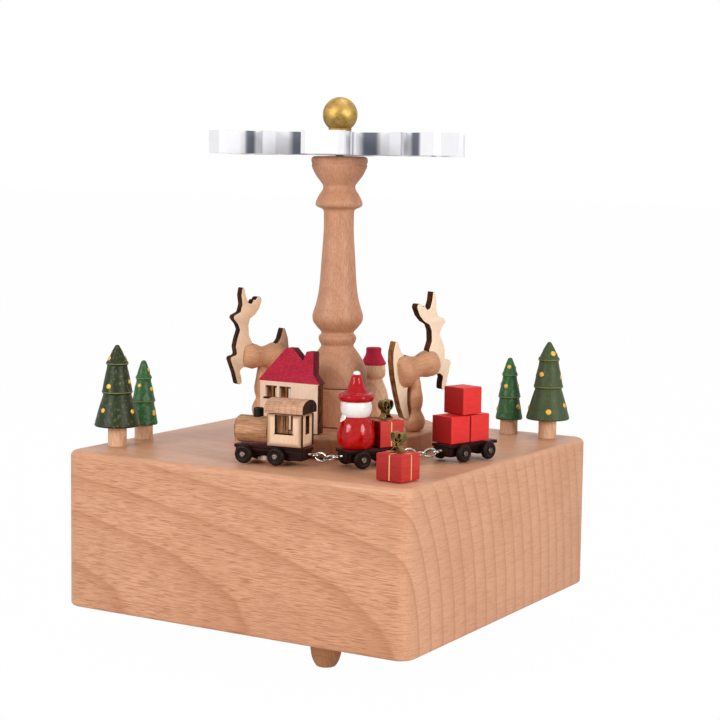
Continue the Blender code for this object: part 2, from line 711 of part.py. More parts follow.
def snowflake_outline():
    """The snowflake: six arms round a hub, each turned a sixth from the last."""
    outline = []
    for arm in range(ROTOR_ARMS):
        angle = math.tau * arm / ROTOR_ARMS
        for x, y in snowflake_arm():
            outline.append((x * math.cos(angle) - y * math.sin(angle),
                            x * math.sin(angle) + y * math.cos(angle)))
        valley = angle + math.pi / ROTOR_ARMS
        outline.append((ROTOR_HUB_RADIUS * math.cos(valley), ROTOR_HUB_RADIUS * math.sin(valley)))
    return outline


def build_rotor():
    """The snowflake on its shaft, with the ball that caps it."""
    rotor = plate("rotor", snowflake_outline(), ROTOR_THICKNESS, white())
    place(rotor, (0.0, 0.0, ROTOR_BOTTOM), ROTOR_ANGLE)
    cut(rotor, cylinder("rotor_bore", SHAFT_RADIUS + GAP, COLUMN_TOP, ROTOR_TOP + GAP, None, CUTTERS,
                        SMALL_SEGMENTS))
    neck_bottom = ROTOR_TOP + GAP
    centre = neck_bottom + BALL_NECK_HEIGHT + math.sqrt(BALL_RADIUS ** 2 - BALL_NECK_RADIUS ** 2)
    shaft_top = centre
    steps = 10
    start = math.asin(BALL_NECK_RADIUS / BALL_RADIUS)
    sphere = []
    for step in range(steps + 1):
        angle = (math.pi - start) * step / steps
        sphere.append((BALL_RADIUS * math.sin(angle), centre + BALL_RADIUS * math.cos(angle)))
    hole = SHAFT_RADIUS + GAP
    profile = sphere + [(BALL_NECK_RADIUS, neck_bottom), (hole, neck_bottom), (hole, shaft_top + GAP)]
    profile += [(0.0, shaft_top + GAP)]
    turned("rotor_ball", profile, gold())
    shaft_bottom = BED_BOTTOM + GAP
    pinion_low = FAST_BOTTOM
    pinion_high = SLOW_BOTTOM - RUNNING_GAP
    shaft = cylinder("rotor_shaft", SHAFT_RADIUS, shaft_bottom, shaft_top, steel(),
                     segments=SMALL_SEGMENTS)
    pinion = gear("rotor_pinion_teeth", PINION_TEETH, pinion_high - pinion_low, 0.5, CUTTERS)
    pinion.location.z = pinion_low
    join(shaft, pinion)


def involute(angle):
    return math.tan(angle) - angle


def gear_outline(teeth, phase):
    """Involute teeth round a circle; phase is the first tooth's place in tooth pitches."""
    pitch_radius = GEAR_MODULE * teeth / 2
    base_radius = pitch_radius * math.cos(math.radians(PRESSURE_ANGLE))
    tip_radius = pitch_radius + GEAR_MODULE * GEAR_ADDENDUM
    root_radius = pitch_radius - GEAR_MODULE * GEAR_DEDENDUM
    half_at_pitch = math.pi / (2 * teeth) * TOOTH_FILL
    spread = half_at_pitch + involute(math.radians(PRESSURE_ANGLE))
    half_at_root = spread - involute(math.acos(min(base_radius / root_radius, 1.0)))
    half_at_tip = spread - involute(math.acos(base_radius / tip_radius))
    flank = ((root_radius, half_at_root), (tip_radius, half_at_tip))
    outline = []
    for tooth in range(teeth):
        middle = math.tau * (tooth + phase) / teeth
        for radius, half in flank:
            outline.append((radius * math.cos(middle - half), radius * math.sin(middle - half)))
        for radius, half in reversed(flank):
            outline.append((radius * math.cos(middle + half), radius * math.sin(middle + half)))
    return outline


def gear(name, teeth, thickness, phase, group=PARTS):
    """A spur gear, its bottom at z = 0."""
    return plate(name, gear_outline(teeth, phase), thickness, brass(), group)


def house_outline():
    return [(x, z + GAP) for x, z in HOUSE_OUTLINE]


def build_house():
    """The house, cut from one sheet of ply that stands on the stage."""
    house = plate("house", house_outline(), PLY_THICKNESS, ply())
    house.rotation_euler.x = math.pi / 2
    house.location = (0.0, -HOUSE_FRONT + PLY_THICKNESS, STAGE)
    for index, middle in enumerate(WINDOW_MIDDLES):
        low = STAGE + WINDOW_SILL
        window = span_block("window_%d" % (index + 1),
                            (middle - WINDOW_WIDTH / 2, -HOUSE_FRONT - GAP, low),
                            (middle + WINDOW_WIDTH / 2, -HOUSE_FRONT + PLY_THICKNESS + GAP,
                             low + WINDOW_HEIGHT), None, CUTTERS)
        cut(house, window)


def build_deer(side):
    """One reindeer: a turned post, a turned body lying on it, and two cut sheets in its ends."""
    name = "deer_" + side
    x, y = polar(DEER_CIRCLE, DEER_PLACES[side])
    holder = anchor(name + "_place", (x, y, STAGE + GAP), DEER_HEADINGS[side])
    pitched = anchor(name + "_pitch", (0.0, 0.0, DEER_BODY_HEIGHT))
    pitched.rotation_euler.y = -math.radians(DEER_PITCH[side])
    parented(pitched, holder)
    waist = min(radius for radius, reach in DEER_BODY_PROFILE)
    post_top = DEER_BODY_HEIGHT - waist - GAP
    post_profile = [(radius, height * post_top / DEER_POST_PROFILE[0][1])
                    for radius, height in DEER_POST_PROFILE]
    tenon = [(DEER_TENON_RADIUS, post_top + DEER_TENON_LENGTH), (DEER_TENON_RADIUS, post_top)]
    parented(turned(name + "_post", tenon + post_profile, beech(), segments=SMALL_SEGMENTS), holder)
    body = turned(name + "_body", DEER_BODY_PROFILE, beech())
    parented(body, pitched)
    body.rotation_euler.y = math.pi / 2 - math.radians(DEER_BODY_TILT)
    socket = cylinder(name + "_socket", DEER_TENON_RADIUS + GAP, 0.0,
                      post_top + DEER_TENON_LENGTH + GAP, None, CUTTERS, SMALL_SEGMENTS)
    seat = cylinder(name + "_seat", DEER_POST_PROFILE[0][0] + GAP, 0.0, post_top + GAP, None,
                    CUTTERS, SMALL_SEGMENTS)
    parented(socket, holder)
    parented(seat, holder)
    slot_half = PLY_THICKNESS / 2 + GAP
    far = DEER_BODY_HEIGHT
    front_slot = span_block(name + "_front_slot", (DEER_SLOT_FRONT, -slot_half, -far),
                            (far, slot_half, far), None, CUTTERS)
    rear_slot = span_block(name + "_rear_slot", (-far, -slot_half, -far),
                           (DEER_SLOT_REAR, slot_half, far), None, CUTTERS)
    parented(front_slot, pitched)
    parented(rear_slot, pitched)
    cut(body, socket, seat, front_slot, rear_slot)
    for part, outline in (("front", DEER_FRONT_OUTLINE), ("rear", DEER_REAR_OUTLINE)):
        lowered = [(reach, height - DEER_BODY_HEIGHT) for reach, height in outline]
        sheet = plate(name + "_" + part, lowered, PLY_THICKNESS, ply())
        parented(sheet, pitched)
        sheet.rotation_euler.x = math.pi / 2
        sheet.location.y = PLY_THICKNESS / 2


def build_peg_figure():
    """The small turned figure behind the column."""
    figure = turned("peg_figure", PEG_PROFILE, beech())
    figure.location = (*PEG_PLACE, STAGE + GAP)


def tree_profile(height, tiers):
    """Tiers of a turned tree: each swells to its rim and steps in again below it."""
    profile = [(TREE_TIP_RADIUS, height)]
    for index, (rim, low) in enumerate(tiers):
        profile.append((rim, low + TREE_RIM_ROUNDING))
        profile.append((rim - TREE_RIM_ROUNDING / 2, low))
        if index + 1 < len(tiers):
            profile.append((rim * TREE_STEP, low - TREE_RIM_ROUNDING / 2))
    profile += [(TREE_TRUNK_RADIUS, tiers[-1][1]), (TREE_TRUNK_RADIUS, -TREE_TRUNK_DEPTH)]
    return profile


def tree_places():
    """Each tree's name and its place on the lid."""
    return (
        ("tree_big_left", BIG_TREE_LEFT_INSET[0] - BOX_HALF, BIG_TREE_LEFT_INSET[1] - BOX_HALF),
        ("tree_small_left", SMALL_TREE_LEFT_INSET[0] - BOX_HALF, SMALL_TREE_LEFT_INSET[1] - BOX_HALF),
        ("tree_small_back", BOX_HALF - SMALL_TREE_BACK_INSET[0], BOX_HALF - SMALL_TREE_BACK_INSET[1]),
        ("tree_big_back", BOX_HALF - BIG_TREE_BACK_INSET[0], BOX_HALF - BIG_TREE_BACK_INSET[1]),
    )


def build_trees():
    for name, x, y in tree_places():
        if "big" in name:
            profile = tree_profile(BIG_TREE_HEIGHT, BIG_TREE_TIERS)
        else:
            profile = tree_profile(SMALL_TREE_HEIGHT, SMALL_TREE_TIERS)
        place(turned(name, profile, green()), (x, y, LID))


def build_gift(name, bow_name, width, location, turn, parent=None):
    """A present with a bow of bent brass strip standing on it."""
    gift = block(name, (width, width, GIFT_HEIGHT), red(), edge=PAINTED_EDGE)
    x, y, bottom = location
    place(gift, (x, y, bottom + GIFT_HEIGHT / 2), turn)
    inner = BOW_WIDTH / 2 - BOW_SHEET
    loop = [(-BOW_WIDTH / 2, BOW_HEIGHT), (-BOW_WIDTH / 2, 0.0), (BOW_WIDTH / 2, 0.0),
            (BOW_WIDTH / 2, BOW_HEIGHT * BOW_SHORT_END), (inner, BOW_HEIGHT * BOW_SHORT_END),
            (inner, BOW_SHEET),
            (-inner, BOW_SHEET), (-inner, BOW_HEIGHT - BOW_SHEET), (inner * BOW_CURL, BOW_HEIGHT - BOW_SHEET),
            (inner * BOW_CURL, BOW_HEIGHT)]
    bow = plate(bow_name, loop, BOW_STRIP, brass())
    bow.rotation_euler = Euler((math.pi / 2, 0.0, math.radians(turn)))
    side = Vector((0.0, BOW_STRIP / 2, 0.0))
    side.rotate(Euler((0.0, 0.0, math.radians(turn))))
    bow.location = Vector((x, y, bottom + GIFT_HEIGHT + GAP)) + side
    if parent is not None:
        parented(gift, parent)
        parented(bow, parent)


def build_front_gift():
    x = BOX_HALF - GIFT_INSET[0]
    y = GIFT_INSET[1] - BOX_HALF
    build_gift("gift_front", "gift_front_bow", GIFT_WIDTH, (x, y, LID + GAP), GIFT_TURN)


def vehicle_place(name, radius, angle, yaw):
    """An empty at a vehicle's middle, its x axis along the way it runs, clockwise from above."""
    x, y = polar(radius, angle)
    return anchor(name + "_place", (x, y, LID), angle - 90.0 + yaw)


def wheelset(name, reach, between, holder):
    """Two wheels on an axle across the vehicle, clear of what stands between them."""
    inner = between / 2 + WHEEL_CLEARANCE
    outer = inner + WHEEL_WIDTH
    end = outer + WHEEL_HUB_PROUD
    half_profile = [(WHEEL_HUB_RADIUS, end), (WHEEL_HUB_RADIUS, outer), (WHEEL_RADIUS - WHEEL_CHAMFER, outer),
                    (WHEEL_RADIUS, outer - WHEEL_CHAMFER), (WHEEL_RADIUS, inner), (AXLE_RADIUS, inner)]
    profile = half_profile + [(radius, -across) for radius, across in reversed(half_profile)]
    pair = turned(name, profile, dark_wood(), segments=SMALL_SEGMENTS)
    parented(pair, holder)
    pair.rotation_euler.x = math.pi / 2
    pair.location = (reach, 0.0, WHEEL_RADIUS + GAP)


def chassis(name, length, width, axles, holder):
    """A deck on a narrower frame, bored for the axles."""
    frame = block(name, (length - 2 * DECK_THICKNESS, CHASSIS_WIDTH,
                         CHASSIS_TOP - DECK_THICKNESS / 2 - CHASSIS_BOTTOM), dark_wood())
    frame.location.z = (CHASSIS_TOP - DECK_THICKNESS / 2 + CHASSIS_BOTTOM) / 2
    deck = block(name + "_deck", (length, width, DECK_THICKNESS), None, CUTTERS)
    deck.location.z = CHASSIS_TOP - DECK_THICKNESS / 2
    parented(frame, holder)
    parented(deck, holder)
    for index, reach in enumerate(axles):
        bore = cylinder("%s_axle_bore_%d" % (name, index + 1), AXLE_RADIUS + GAP, -width, width,
                        None, CUTTERS, SMALL_SEGMENTS)
        bore.rotation_euler.x = math.pi / 2
        bore.location = (reach, 0.0, WHEEL_RADIUS + GAP)
        parented(bore, holder)
        cut(frame, bore)
    join(frame, deck)
    return frame


def build_cab(holder, middle):
    """The cab: a box of thin ply, open on top, with a window in each side and at the rear."""
    bottom = CHASSIS_TOP + GAP
    cab = block("loco_cab", (CAB_LENGTH, CAB_WIDTH, CAB_HEIGHT), ply())
    cab.location = (middle, 0.0, bottom + CAB_HEIGHT / 2)
    inside = block("cab_inside", (CAB_LENGTH - 2 * CAB_WALL, CAB_WIDTH - 2 * CAB_WALL, CAB_HEIGHT),
                   None, CUTTERS)
    inside.location = (middle, 0.0, bottom + CAB_HEIGHT / 2 + CAB_WALL)
    sill = bottom + CAB_WINDOW_SILL
    side_window = block("cab_side_window", (CAB_WINDOW_LENGTH, 2 * CAB_WIDTH, CAB_WINDOW_HEIGHT),
                        None, CUTTERS)
    side_window.location = (middle - CAB_WINDOW_BACK, 0.0, sill + CAB_WINDOW_HEIGHT / 2)
    rear_window = block("cab_rear_window", (CAB_LENGTH, CAB_REAR_WINDOW_WIDTH, CAB_WINDOW_HEIGHT),
                        None, CUTTERS)
    rear_window.location = (middle - CAB_LENGTH / 2, 0.0, sill + CAB_WINDOW_HEIGHT / 2)
    for piece in (cab, inside, side_window, rear_window):
        parented(piece, holder)
    cut(cab, inside, side_window, rear_window)


def roof_outline(half_width):
    """The roof's end: upright sides and a shallow arch."""
    outline = [(half_width, 0.0), (half_width, ROOF_SIDE)]
    steps = 6
    for step in range(1, steps):
        angle = math.pi * step / steps
        outline.append((half_width * math.cos(angle), ROOF_SIDE + (ROOF_RISE - ROOF_SIDE) * math.sin(angle)))
    outline += [(-half_width, ROOF_SIDE), (-half_width, 0.0)]
    return outline


def build_loco():
    """The locomotive: chassis, boiler, chimney, cab and roof, with its towing magnet below."""
    holder = vehicle_place("loco", TRAIN_RADIUS, TRAIN_ANGLE, 0.0)
    frame = chassis("loco_chassis", LOCO_LENGTH, CHASSIS_WIDTH, LOCO_AXLES, holder)
    pocket_top = CHASSIS_BOTTOM + MAGNET_THICKNESS - 2 * GAP
    magnet_x = sum(LOCO_AXLES) / 2
    pocket = cylinder("magnet_pocket", MAGNET_RADIUS + GAP, 0.0, pocket_top + GAP, None, CUTTERS)
    pocket.location.x = magnet_x
    parented(pocket, holder)
    cut(frame, pocket)
    magnet = cylinder("loco_magnet", MAGNET_RADIUS, pocket_top - MAGNET_THICKNESS, pocket_top,
                      magnet_coat())
    magnet.location.x = magnet_x
    parented(magnet, holder)
    for index, reach in enumerate(LOCO_AXLES):
        wheelset("loco_wheels_%d" % (index + 1), reach, LOCO_GAUGE, holder)
    axis_height = CHASSIS_TOP + GAP + BOILER_RADIUS
    boiler = turned("loco_boiler", ((BOILER_NOSE_RADIUS, BOILER_LENGTH),
                                    (BOILER_RADIUS, BOILER_LENGTH - BOILER_NOSE_DEPTH),
                                    (BOILER_RADIUS, 0.0)), beech(), segments=32)
    boiler.rotation_euler.y = math.pi / 2
    boiler.location = (BOILER_FRONT - BOILER_LENGTH, 0.0, axis_height)
    parented(boiler, holder)
    chimney = cylinder("loco_chimney", CHIMNEY_RADIUS, 0.0, CHIMNEY_HEIGHT + BOILER_RADIUS, black(),
                       segments=SMALL_SEGMENTS)
    chimney.location = (CHIMNEY_PLACE, 0.0, axis_height)
    seat = cylinder("chimney_seat", BOILER_RADIUS + GAP, -BOILER_LENGTH, BOILER_LENGTH, None, CUTTERS, 32)
    seat.rotation_euler.y = math.pi / 2
    seat.location = (CHIMNEY_PLACE, 0.0, axis_height)
    for piece in (chimney, seat):
        parented(piece, holder)
    cut(chimney, seat)
    cab_middle = BOILER_FRONT - BOILER_LENGTH - GAP - CAB_LENGTH / 2
    build_cab(holder, cab_middle)
    roof = plate("loco_roof", roof_outline(CAB_WIDTH / 2 + ROOF_OVERHANG),
                 CAB_LENGTH + 2 * ROOF_OVERHANG, beech())
    roof.rotation_euler = Euler((math.pi / 2, 0.0, math.pi / 2))
    roof.location = (cab_middle - CAB_LENGTH / 2 - ROOF_OVERHANG, 0.0,
                     CHASSIS_TOP + 2 * GAP + CAB_HEIGHT)
    parented(roof, holder)
    return holder


def build_wagon_1():
    """The first wagon, with the turned figure and a present."""
    holder = vehicle_place("wagon_1", WAGON_1_RADIUS, WAGON_1_ANGLE, WAGON_1_YAW)
    chassis("wagon_1_chassis", WAGON_1_LENGTH, WAGON_WIDTH, WAGON_1_AXLES, holder)
    for index, reach in enumerate(WAGON_1_AXLES):
        wheelset("wagon_1_wheels_%d" % (index + 1), reach, WAGON_WIDTH, holder)
    deck = CHASSIS_TOP + GAP
    figure = turned("wagon_figure", FIGURE_PROFILE, red())
    figure.location = (FIGURE_PLACE, 0.0, deck)
    parented(figure, holder)
    build_gift("wagon_gift", "wagon_gift_bow", WAGON_GIFT_WIDTH, (WAGON_GIFT_PLACE, 0.0, deck), 0.0,
               holder)
    return holder


def build_wagon_2():
    """The second wagon, with three blocks."""
    holder = vehicle_place("wagon_2", WAGON_2_RADIUS, WAGON_2_ANGLE, WAGON_2_YAW)
    chassis("wagon_2_chassis", WAGON_2_LENGTH, WAGON_WIDTH, WAGON_2_AXLES, holder)
    for index, reach in enumerate(WAGON_2_AXLES):
        wheelset("wagon_2_wheels_%d" % (index + 1), reach, WAGON_WIDTH, holder)
    for index, (reach, layer) in enumerate(BLOCK_PLACES):
        cube = block("wagon_block_%d" % (index + 1), (BLOCK_WIDTH, BLOCK_WIDTH, BLOCK_WIDTH), red(),
                     edge=PAINTED_EDGE)
        bottom = CHASSIS_TOP + GAP + layer * (BLOCK_WIDTH + GAP)
        cube.location = (reach, 0.0, bottom + BLOCK_WIDTH / 2)
        parented(cube, holder)
    return holder


def link_ring(name, middle, direction, half_length, half_width, roll, group=CUTTERS):
    """One chain link or eye: a ring of wire, its length along a direction."""
    curve = bpy.data.curves.new(name, "CURVE")
    curve.dimensions = "3D"
    curve.bevel_depth = LINK_WIRE
    curve.bevel_resolution = 0
    spline = curve.splines.new("POLY")
    spline.points.add(LINK_SEGMENTS - 1)
    for index, point in enumerate(spline.points):
        angle = math.tau * index / LINK_SEGMENTS
        point.co = (half_length * math.cos(angle), half_width * math.sin(angle), 0.0, 1.0)
    spline.use_cyclic_u = True
    mesh = mesh_of(name, curve)
    roll_about = Matrix.Rotation(math.radians(roll), 4, "X")
    along = direction.to_track_quat("X", "Z").to_matrix().to_4x4()
    mesh.transform(along @ roll_about)
    piece = add_object(name, mesh, steel() if group == PARTS else None, group)
    piece.location = middle
    return piece


def end_of(holder, reach):
    """A point on a vehicle's middle line, in the scene."""
    angle = holder.rotation_euler.z
    return Vector((holder.location.x + reach * math.cos(angle),
                   holder.location.y + reach * math.sin(angle), LID + EYE_HEIGHT))


def build_chain(name, ahead, ahead_length, behind, behind_length):
    """A chain between two vehicles: a screw eye at each end and links between, all in one."""
    faces = (end_of(ahead, -ahead_length / 2 - GAP), end_of(behind, behind_length / 2 + GAP))
    eyes = (end_of(ahead, -ahead_length / 2 - EYE_REACH), end_of(behind, behind_length / 2 + EYE_REACH))
    run = (eyes[1] - eyes[0]).normalized()
    start = eyes[0] + run * EYE_RADIUS
    span = (eyes[1] - run * EYE_RADIUS) - start
    links = round(span.length / LINK_PITCH)
    half_pitch = span.length / links / 2
    chain = link_ring(name, eyes[0], eyes[0] - faces[0], EYE_RADIUS, EYE_RADIUS, 0.0, PARTS)
    last_eye = link_ring(name + "_eye", eyes[1], eyes[1] - faces[1], EYE_RADIUS, EYE_RADIUS, 0.0)
    join(chain, last_eye)
    for index in range(links):
        middle = start + span * (index + 0.5) / links
        ring = link_ring("%s_link_%d" % (name, index + 1), middle, run, half_pitch + LINK_WIRE / 2,
                         LINK_HALF_WIDTH, LINK_ROLLS[index % 2])
        join(chain, ring)
    for index, (face, eye) in enumerate(zip(faces, eyes)):
        reach = (eye - face).length - EYE_RADIUS + LINK_WIRE / 2
        shank = cylinder("%s_shank_%d" % (name, index + 1), EYE_SHANK_RADIUS, 0.0, reach, None,
                         CUTTERS, SHANK_SEGMENTS)
        shank.location = face
        shank.rotation_euler = (eye - face).to_track_quat("Z", "Y").to_euler()
        join(chain, shank)


def build_train():
    loco = build_loco()
    wagon_1 = build_wagon_1()
    wagon_2 = build_wagon_2()
    build_chain("chain_1", loco, LOCO_LENGTH, wagon_1, WAGON_1_LENGTH)
    build_chain("chain_2", wagon_1, WAGON_1_LENGTH, wagon_2, WAGON_2_LENGTH)


def build_magnet_arm():
    """The slow gear round the shaft, whose hub lifts an arm with the driving magnet to the lid."""
    arm = gear("magnet_arm", SLOW_TEETH, GEAR_THICKNESS, 0.5)
    arm.location.z = SLOW_BOTTOM
    hub = cylinder("arm_hub", ARM_HUB_RADIUS, SLOW_BOTTOM + GAP, ARM_TOP, None, CUTTERS)
    hub_bore = cylinder("arm_hub_bore", ARM_HUB_BORE, SLOW_BOTTOM - GAP, ARM_TOP + GAP, None, CUTTERS,
                        SMALL_SEGMENTS)
    length = TRAIN_RADIUS + ARM_TAIL_LENGTH
    bar = block("arm_bar", (length, ARM_WIDTH, ARM_THICKNESS), None, CUTTERS)
    turn = math.radians(TRAIN_ANGLE)
    along = Vector((math.cos(turn), math.sin(turn), 0.0))
    middle = Vector((0.0, 0.0, ARM_TOP - ARM_THICKNESS / 2))
    place(bar, middle + along * (TRAIN_RADIUS - ARM_TAIL_LENGTH) / 2, TRAIN_ANGLE)
    pad = cylinder("arm_pad", ARM_PAD_RADIUS, ARM_BOTTOM, ARM_TOP, None, CUTTERS)
    pocket_floor = ARM_TOP - ARM_MAGNET_THICKNESS
    pocket = cylinder("arm_pocket", ARM_MAGNET_RADIUS + GAP, pocket_floor - GAP, ARM_TOP + GAP,
                      None, CUTTERS)
    magnet = cylinder("drive_magnet", ARM_MAGNET_RADIUS, pocket_floor, ARM_TOP, magnet_coat())
    for piece in (pad, pocket, magnet):
        piece.location.x, piece.location.y = along.xy * TRAIN_RADIUS
    join(arm, hub, bar, pad)
    cut(arm, hub_bore, pocket)


def crown_teeth(name):
    """A ring of small upright blocks, each sunk a little below z = 0."""
    mesh = bpy.data.meshes.new(name)
    form = bmesh.new()
    reach = BARREL_RADIUS - CROWN_WIDTH / 2 - GAP
    size = (CROWN_WIDTH, CROWN_TOOTH, CROWN_HEIGHT + GAP, 1.0)
    lift = Matrix.Translation((reach, 0.0, (CROWN_HEIGHT - GAP) / 2))
    for index in range(CROWN_TEETH):
        turn = Matrix.Rotation(math.tau * index / CROWN_TEETH, 4, "Z")
        bmesh.ops.create_cube(form, size=1.0, matrix=turn @ lift @ Matrix.Diagonal(size))
    form.to_mesh(mesh)
    form.free()
    return add_object(name, mesh, None, CUTTERS)


def build_barrel():
    """The spring barrel: two stacked gears, the drum and a crown of teeth on its rim."""
    neck = GEAR_MODULE * (SLOW_TEETH / 2 - GEAR_DEDENDUM) - GAP
    barrel = turned("spring_barrel", ((BARREL_RADIUS, BARREL_TOP), (BARREL_RADIUS, BARREL_BOTTOM),
                                      (neck, BARREL_BOTTOM), (neck, FAST_BOTTOM)), brass(),
                    segments=LARGE_SEGMENTS)
    barrel.location.x = BARREL_PLACE[0]
    fast = gear("fast_teeth", FAST_TEETH, GEAR_THICKNESS, 0.0, CUTTERS)
    slow = gear("slow_teeth", SLOW_TEETH, GEAR_THICKNESS, 0.0, CUTTERS)
    fast.location = (*BARREL_PLACE, FAST_BOTTOM)
    slow.location = (*BARREL_PLACE, SLOW_BOTTOM)
    join(barrel, fast, slow)
    crown = crown_teeth("crown_teeth")
    crown.location = (*BARREL_PLACE, BARREL_TOP)
    join(barrel, crown)
    bore_top = BARREL_TOP - BEDPLATE_THICKNESS
    bore = cylinder("barrel_bore", KEY_ARBOR_RADIUS + GAP, BED_BOTTOM, bore_top, None, CUTTERS)
    bore.location.x, bore.location.y = BARREL_PLACE
    cut(barrel, bore)


def build_key():
    """The butterfly key below the box, on an arbor that reaches into the barrel."""
    arbor_top = BARREL_TOP - BEDPLATE_THICKNESS - GAP
    wing_top = KEY_GROUND_GAP + KEY_HEIGHT
    key = cylinder("winding_key", KEY_ARBOR_RADIUS, KEY_GROUND_GAP + KEY_HEIGHT / 2, arbor_top,
                   steel(), segments=SMALL_SEGMENTS)
    key.location.x, key.location.y = BARREL_PLACE
    half = KEY_SPAN / 2
    waist = KEY_ARBOR_RADIUS * 1.2
    waist_low = KEY_HEIGHT * KEY_WAIST_LOW
    waist_high = KEY_HEIGHT * KEY_WAIST_HIGH
    wing = [(-half, 0.0), (-waist, waist_low), (waist, waist_low), (half, 0.0),
            (half, KEY_HEIGHT), (waist, waist_high), (-waist, waist_high), (-half, KEY_HEIGHT)]
    wings = plate("key_wings", wing, KEY_THICKNESS, None, CUTTERS)
    wings.rotation_euler = Euler((math.pi / 2, 0.0, math.pi / 2))
    wings.location = (BARREL_PLACE[0] - KEY_THICKNESS / 2, BARREL_PLACE[1], wing_top - KEY_HEIGHT)
    join(key, wings)


def cylinder_ends():
    """Where the pinned cylinder starts and ends along Y, past the crown and the inner bearing."""
    pinion_in = BARREL_RADIUS - CROWN_WIDTH - GAP
    pinion_out = BARREL_RADIUS + GAP
    bearing_in = pinion_out + 3 * GAP
    drum_in = bearing_in + BEARING_THICKNESS + GAP
    return pinion_in, pinion_out, bearing_in, drum_in, drum_in + CYLINDER_LENGTH


def build_bedplate():
    """The movement's bedplate with its comb block and the cylinder's two bearings."""
    tip = GEAR_MODULE * (FAST_TEETH / 2 + GEAR_ADDENDUM)
    pinion_in, pinion_out, bearing_in, drum_in, drum_out = cylinder_ends()
    x = BARREL_PLACE[0]
    outer_in = drum_out + GAP
    low = (x - tip - BEDPLATE_MARGIN, -tip - BEDPLATE_MARGIN, BED_BOTTOM)
    high = (-x / 2, outer_in + BEARING_THICKNESS + BEDPLATE_MARGIN, BED_TOP)
    bed = span_block("bedplate", low, high, brass())
    comb_left = x + CYLINDER_RADIUS + GAP + COMB_TINE_LENGTH
    comb_top = CYLINDER_AXIS - COMB_THICKNESS / 2 - GAP
    bridge_top = CYLINDER_AXIS + BEARING_WIDTH / 2
    bridge_low = CYLINDER_AXIS - BEARING_WIDTH / 2
    half = BEARING_WIDTH / 2
    comb_block = span_block("comb_block", (comb_left, drum_in, BED_BOTTOM + GAP),
                            (comb_left + COMB_BASE_WIDTH, drum_out, comb_top), None, CUTTERS)
    riser = span_block("bridge_riser", (comb_left, bearing_in, BED_BOTTOM + GAP),
                       (comb_left + COMB_BASE_WIDTH, drum_in + GAP, bridge_top), None, CUTTERS)
    bridge = span_block("bridge", (x - half, bearing_in, bridge_low),
                        (comb_left + COMB_BASE_WIDTH / 2, bearing_in + BEARING_THICKNESS, bridge_top),
                        None, CUTTERS)
    post = span_block("outer_bearing", (x - half, outer_in, BED_BOTTOM + GAP),
                      (x + half, outer_in + BEARING_THICKNESS, bridge_top), None, CUTTERS)
    join(bed, comb_block, riser, bridge, post)
    arbor_hole = cylinder("arbor_hole", CYLINDER_ARBOR_RADIUS + GAP, -BOX_HALF, 0.0, None, CUTTERS,
                          SMALL_SEGMENTS)
    arbor_hole.rotation_euler.x = math.pi / 2
    arbor_hole.location = (x, 0.0, CYLINDER_AXIS)
    key_hole = cylinder("bed_key_hole", KEY_ARBOR_RADIUS + GAP, BED_BOTTOM - GAP, BED_TOP + GAP,
                        None, CUTTERS, SMALL_SEGMENTS)
    key_hole.location.x = x
    shaft_hole = cylinder("bed_shaft_hole", SHAFT_RADIUS + GAP, BED_BOTTOM - GAP, BED_TOP + GAP,
                          None, CUTTERS, SMALL_SEGMENTS)
    cut(bed, arbor_hole, key_hole, shaft_hole)
    governor_x = x - GOVERNOR_DISTANCE
    governor_y = (drum_in + drum_out) / 2
    pivot = cylinder("governor_pivot_hole", GOVERNOR_ARBOR_RADIUS + GAP, BED_BOTTOM - GAP,
                     BED_TOP + GAP, None, CUTTERS, SMALL_SEGMENTS)
    pivot.location = (governor_x, governor_y, 0.0)
    cut(bed, pivot)
    return comb_left, comb_top, (governor_x, governor_y)


def build_cylinder():
    """The pinned cylinder on its arbor, with the small pinion that the crown drives."""
    pinion_in, pinion_out, bearing_in, drum_in, drum_out = cylinder_ends()
    end = drum_out + GAP + BEARING_THICKNESS + GAP
    drum = turned("pin_cylinder", ((CYLINDER_ARBOR_RADIUS, end), (CYLINDER_ARBOR_RADIUS, drum_out),
                                   (CYLINDER_RADIUS, drum_out), (CYLINDER_RADIUS, drum_in),
                                   (CYLINDER_ARBOR_RADIUS, drum_in),
                                   (CYLINDER_ARBOR_RADIUS, pinion_in)), brass(), segments=32)
    drum.rotation_euler.x = -math.pi / 2
    drum.location = (BARREL_PLACE[0], BARREL_PLACE[1], CYLINDER_AXIS)
    outline = []
    for tooth in range(CROWN_PINION_TEETH):
        middle = math.tau * tooth / CROWN_PINION_TEETH + math.pi / 2
        for radius, side in ((CROWN_PINION_ROOT, -1.2), (CROWN_PINION_TIP, -0.75),
                             (CROWN_PINION_TIP, 0.75), (CROWN_PINION_ROOT, 1.2)):
            angle = middle + side * CROWN_PINION_TOOTH / 2 / radius
            outline.append((radius * math.cos(angle), radius * math.sin(angle)))
    teeth = plate("crown_pinion_teeth", outline, pinion_out - pinion_in, None, CUTTERS)
    teeth.rotation_euler.x = math.pi / 2
    teeth.location = (BARREL_PLACE[0], BARREL_PLACE[1] + pinion_out, CYLINDER_AXIS)
    join(drum, teeth)


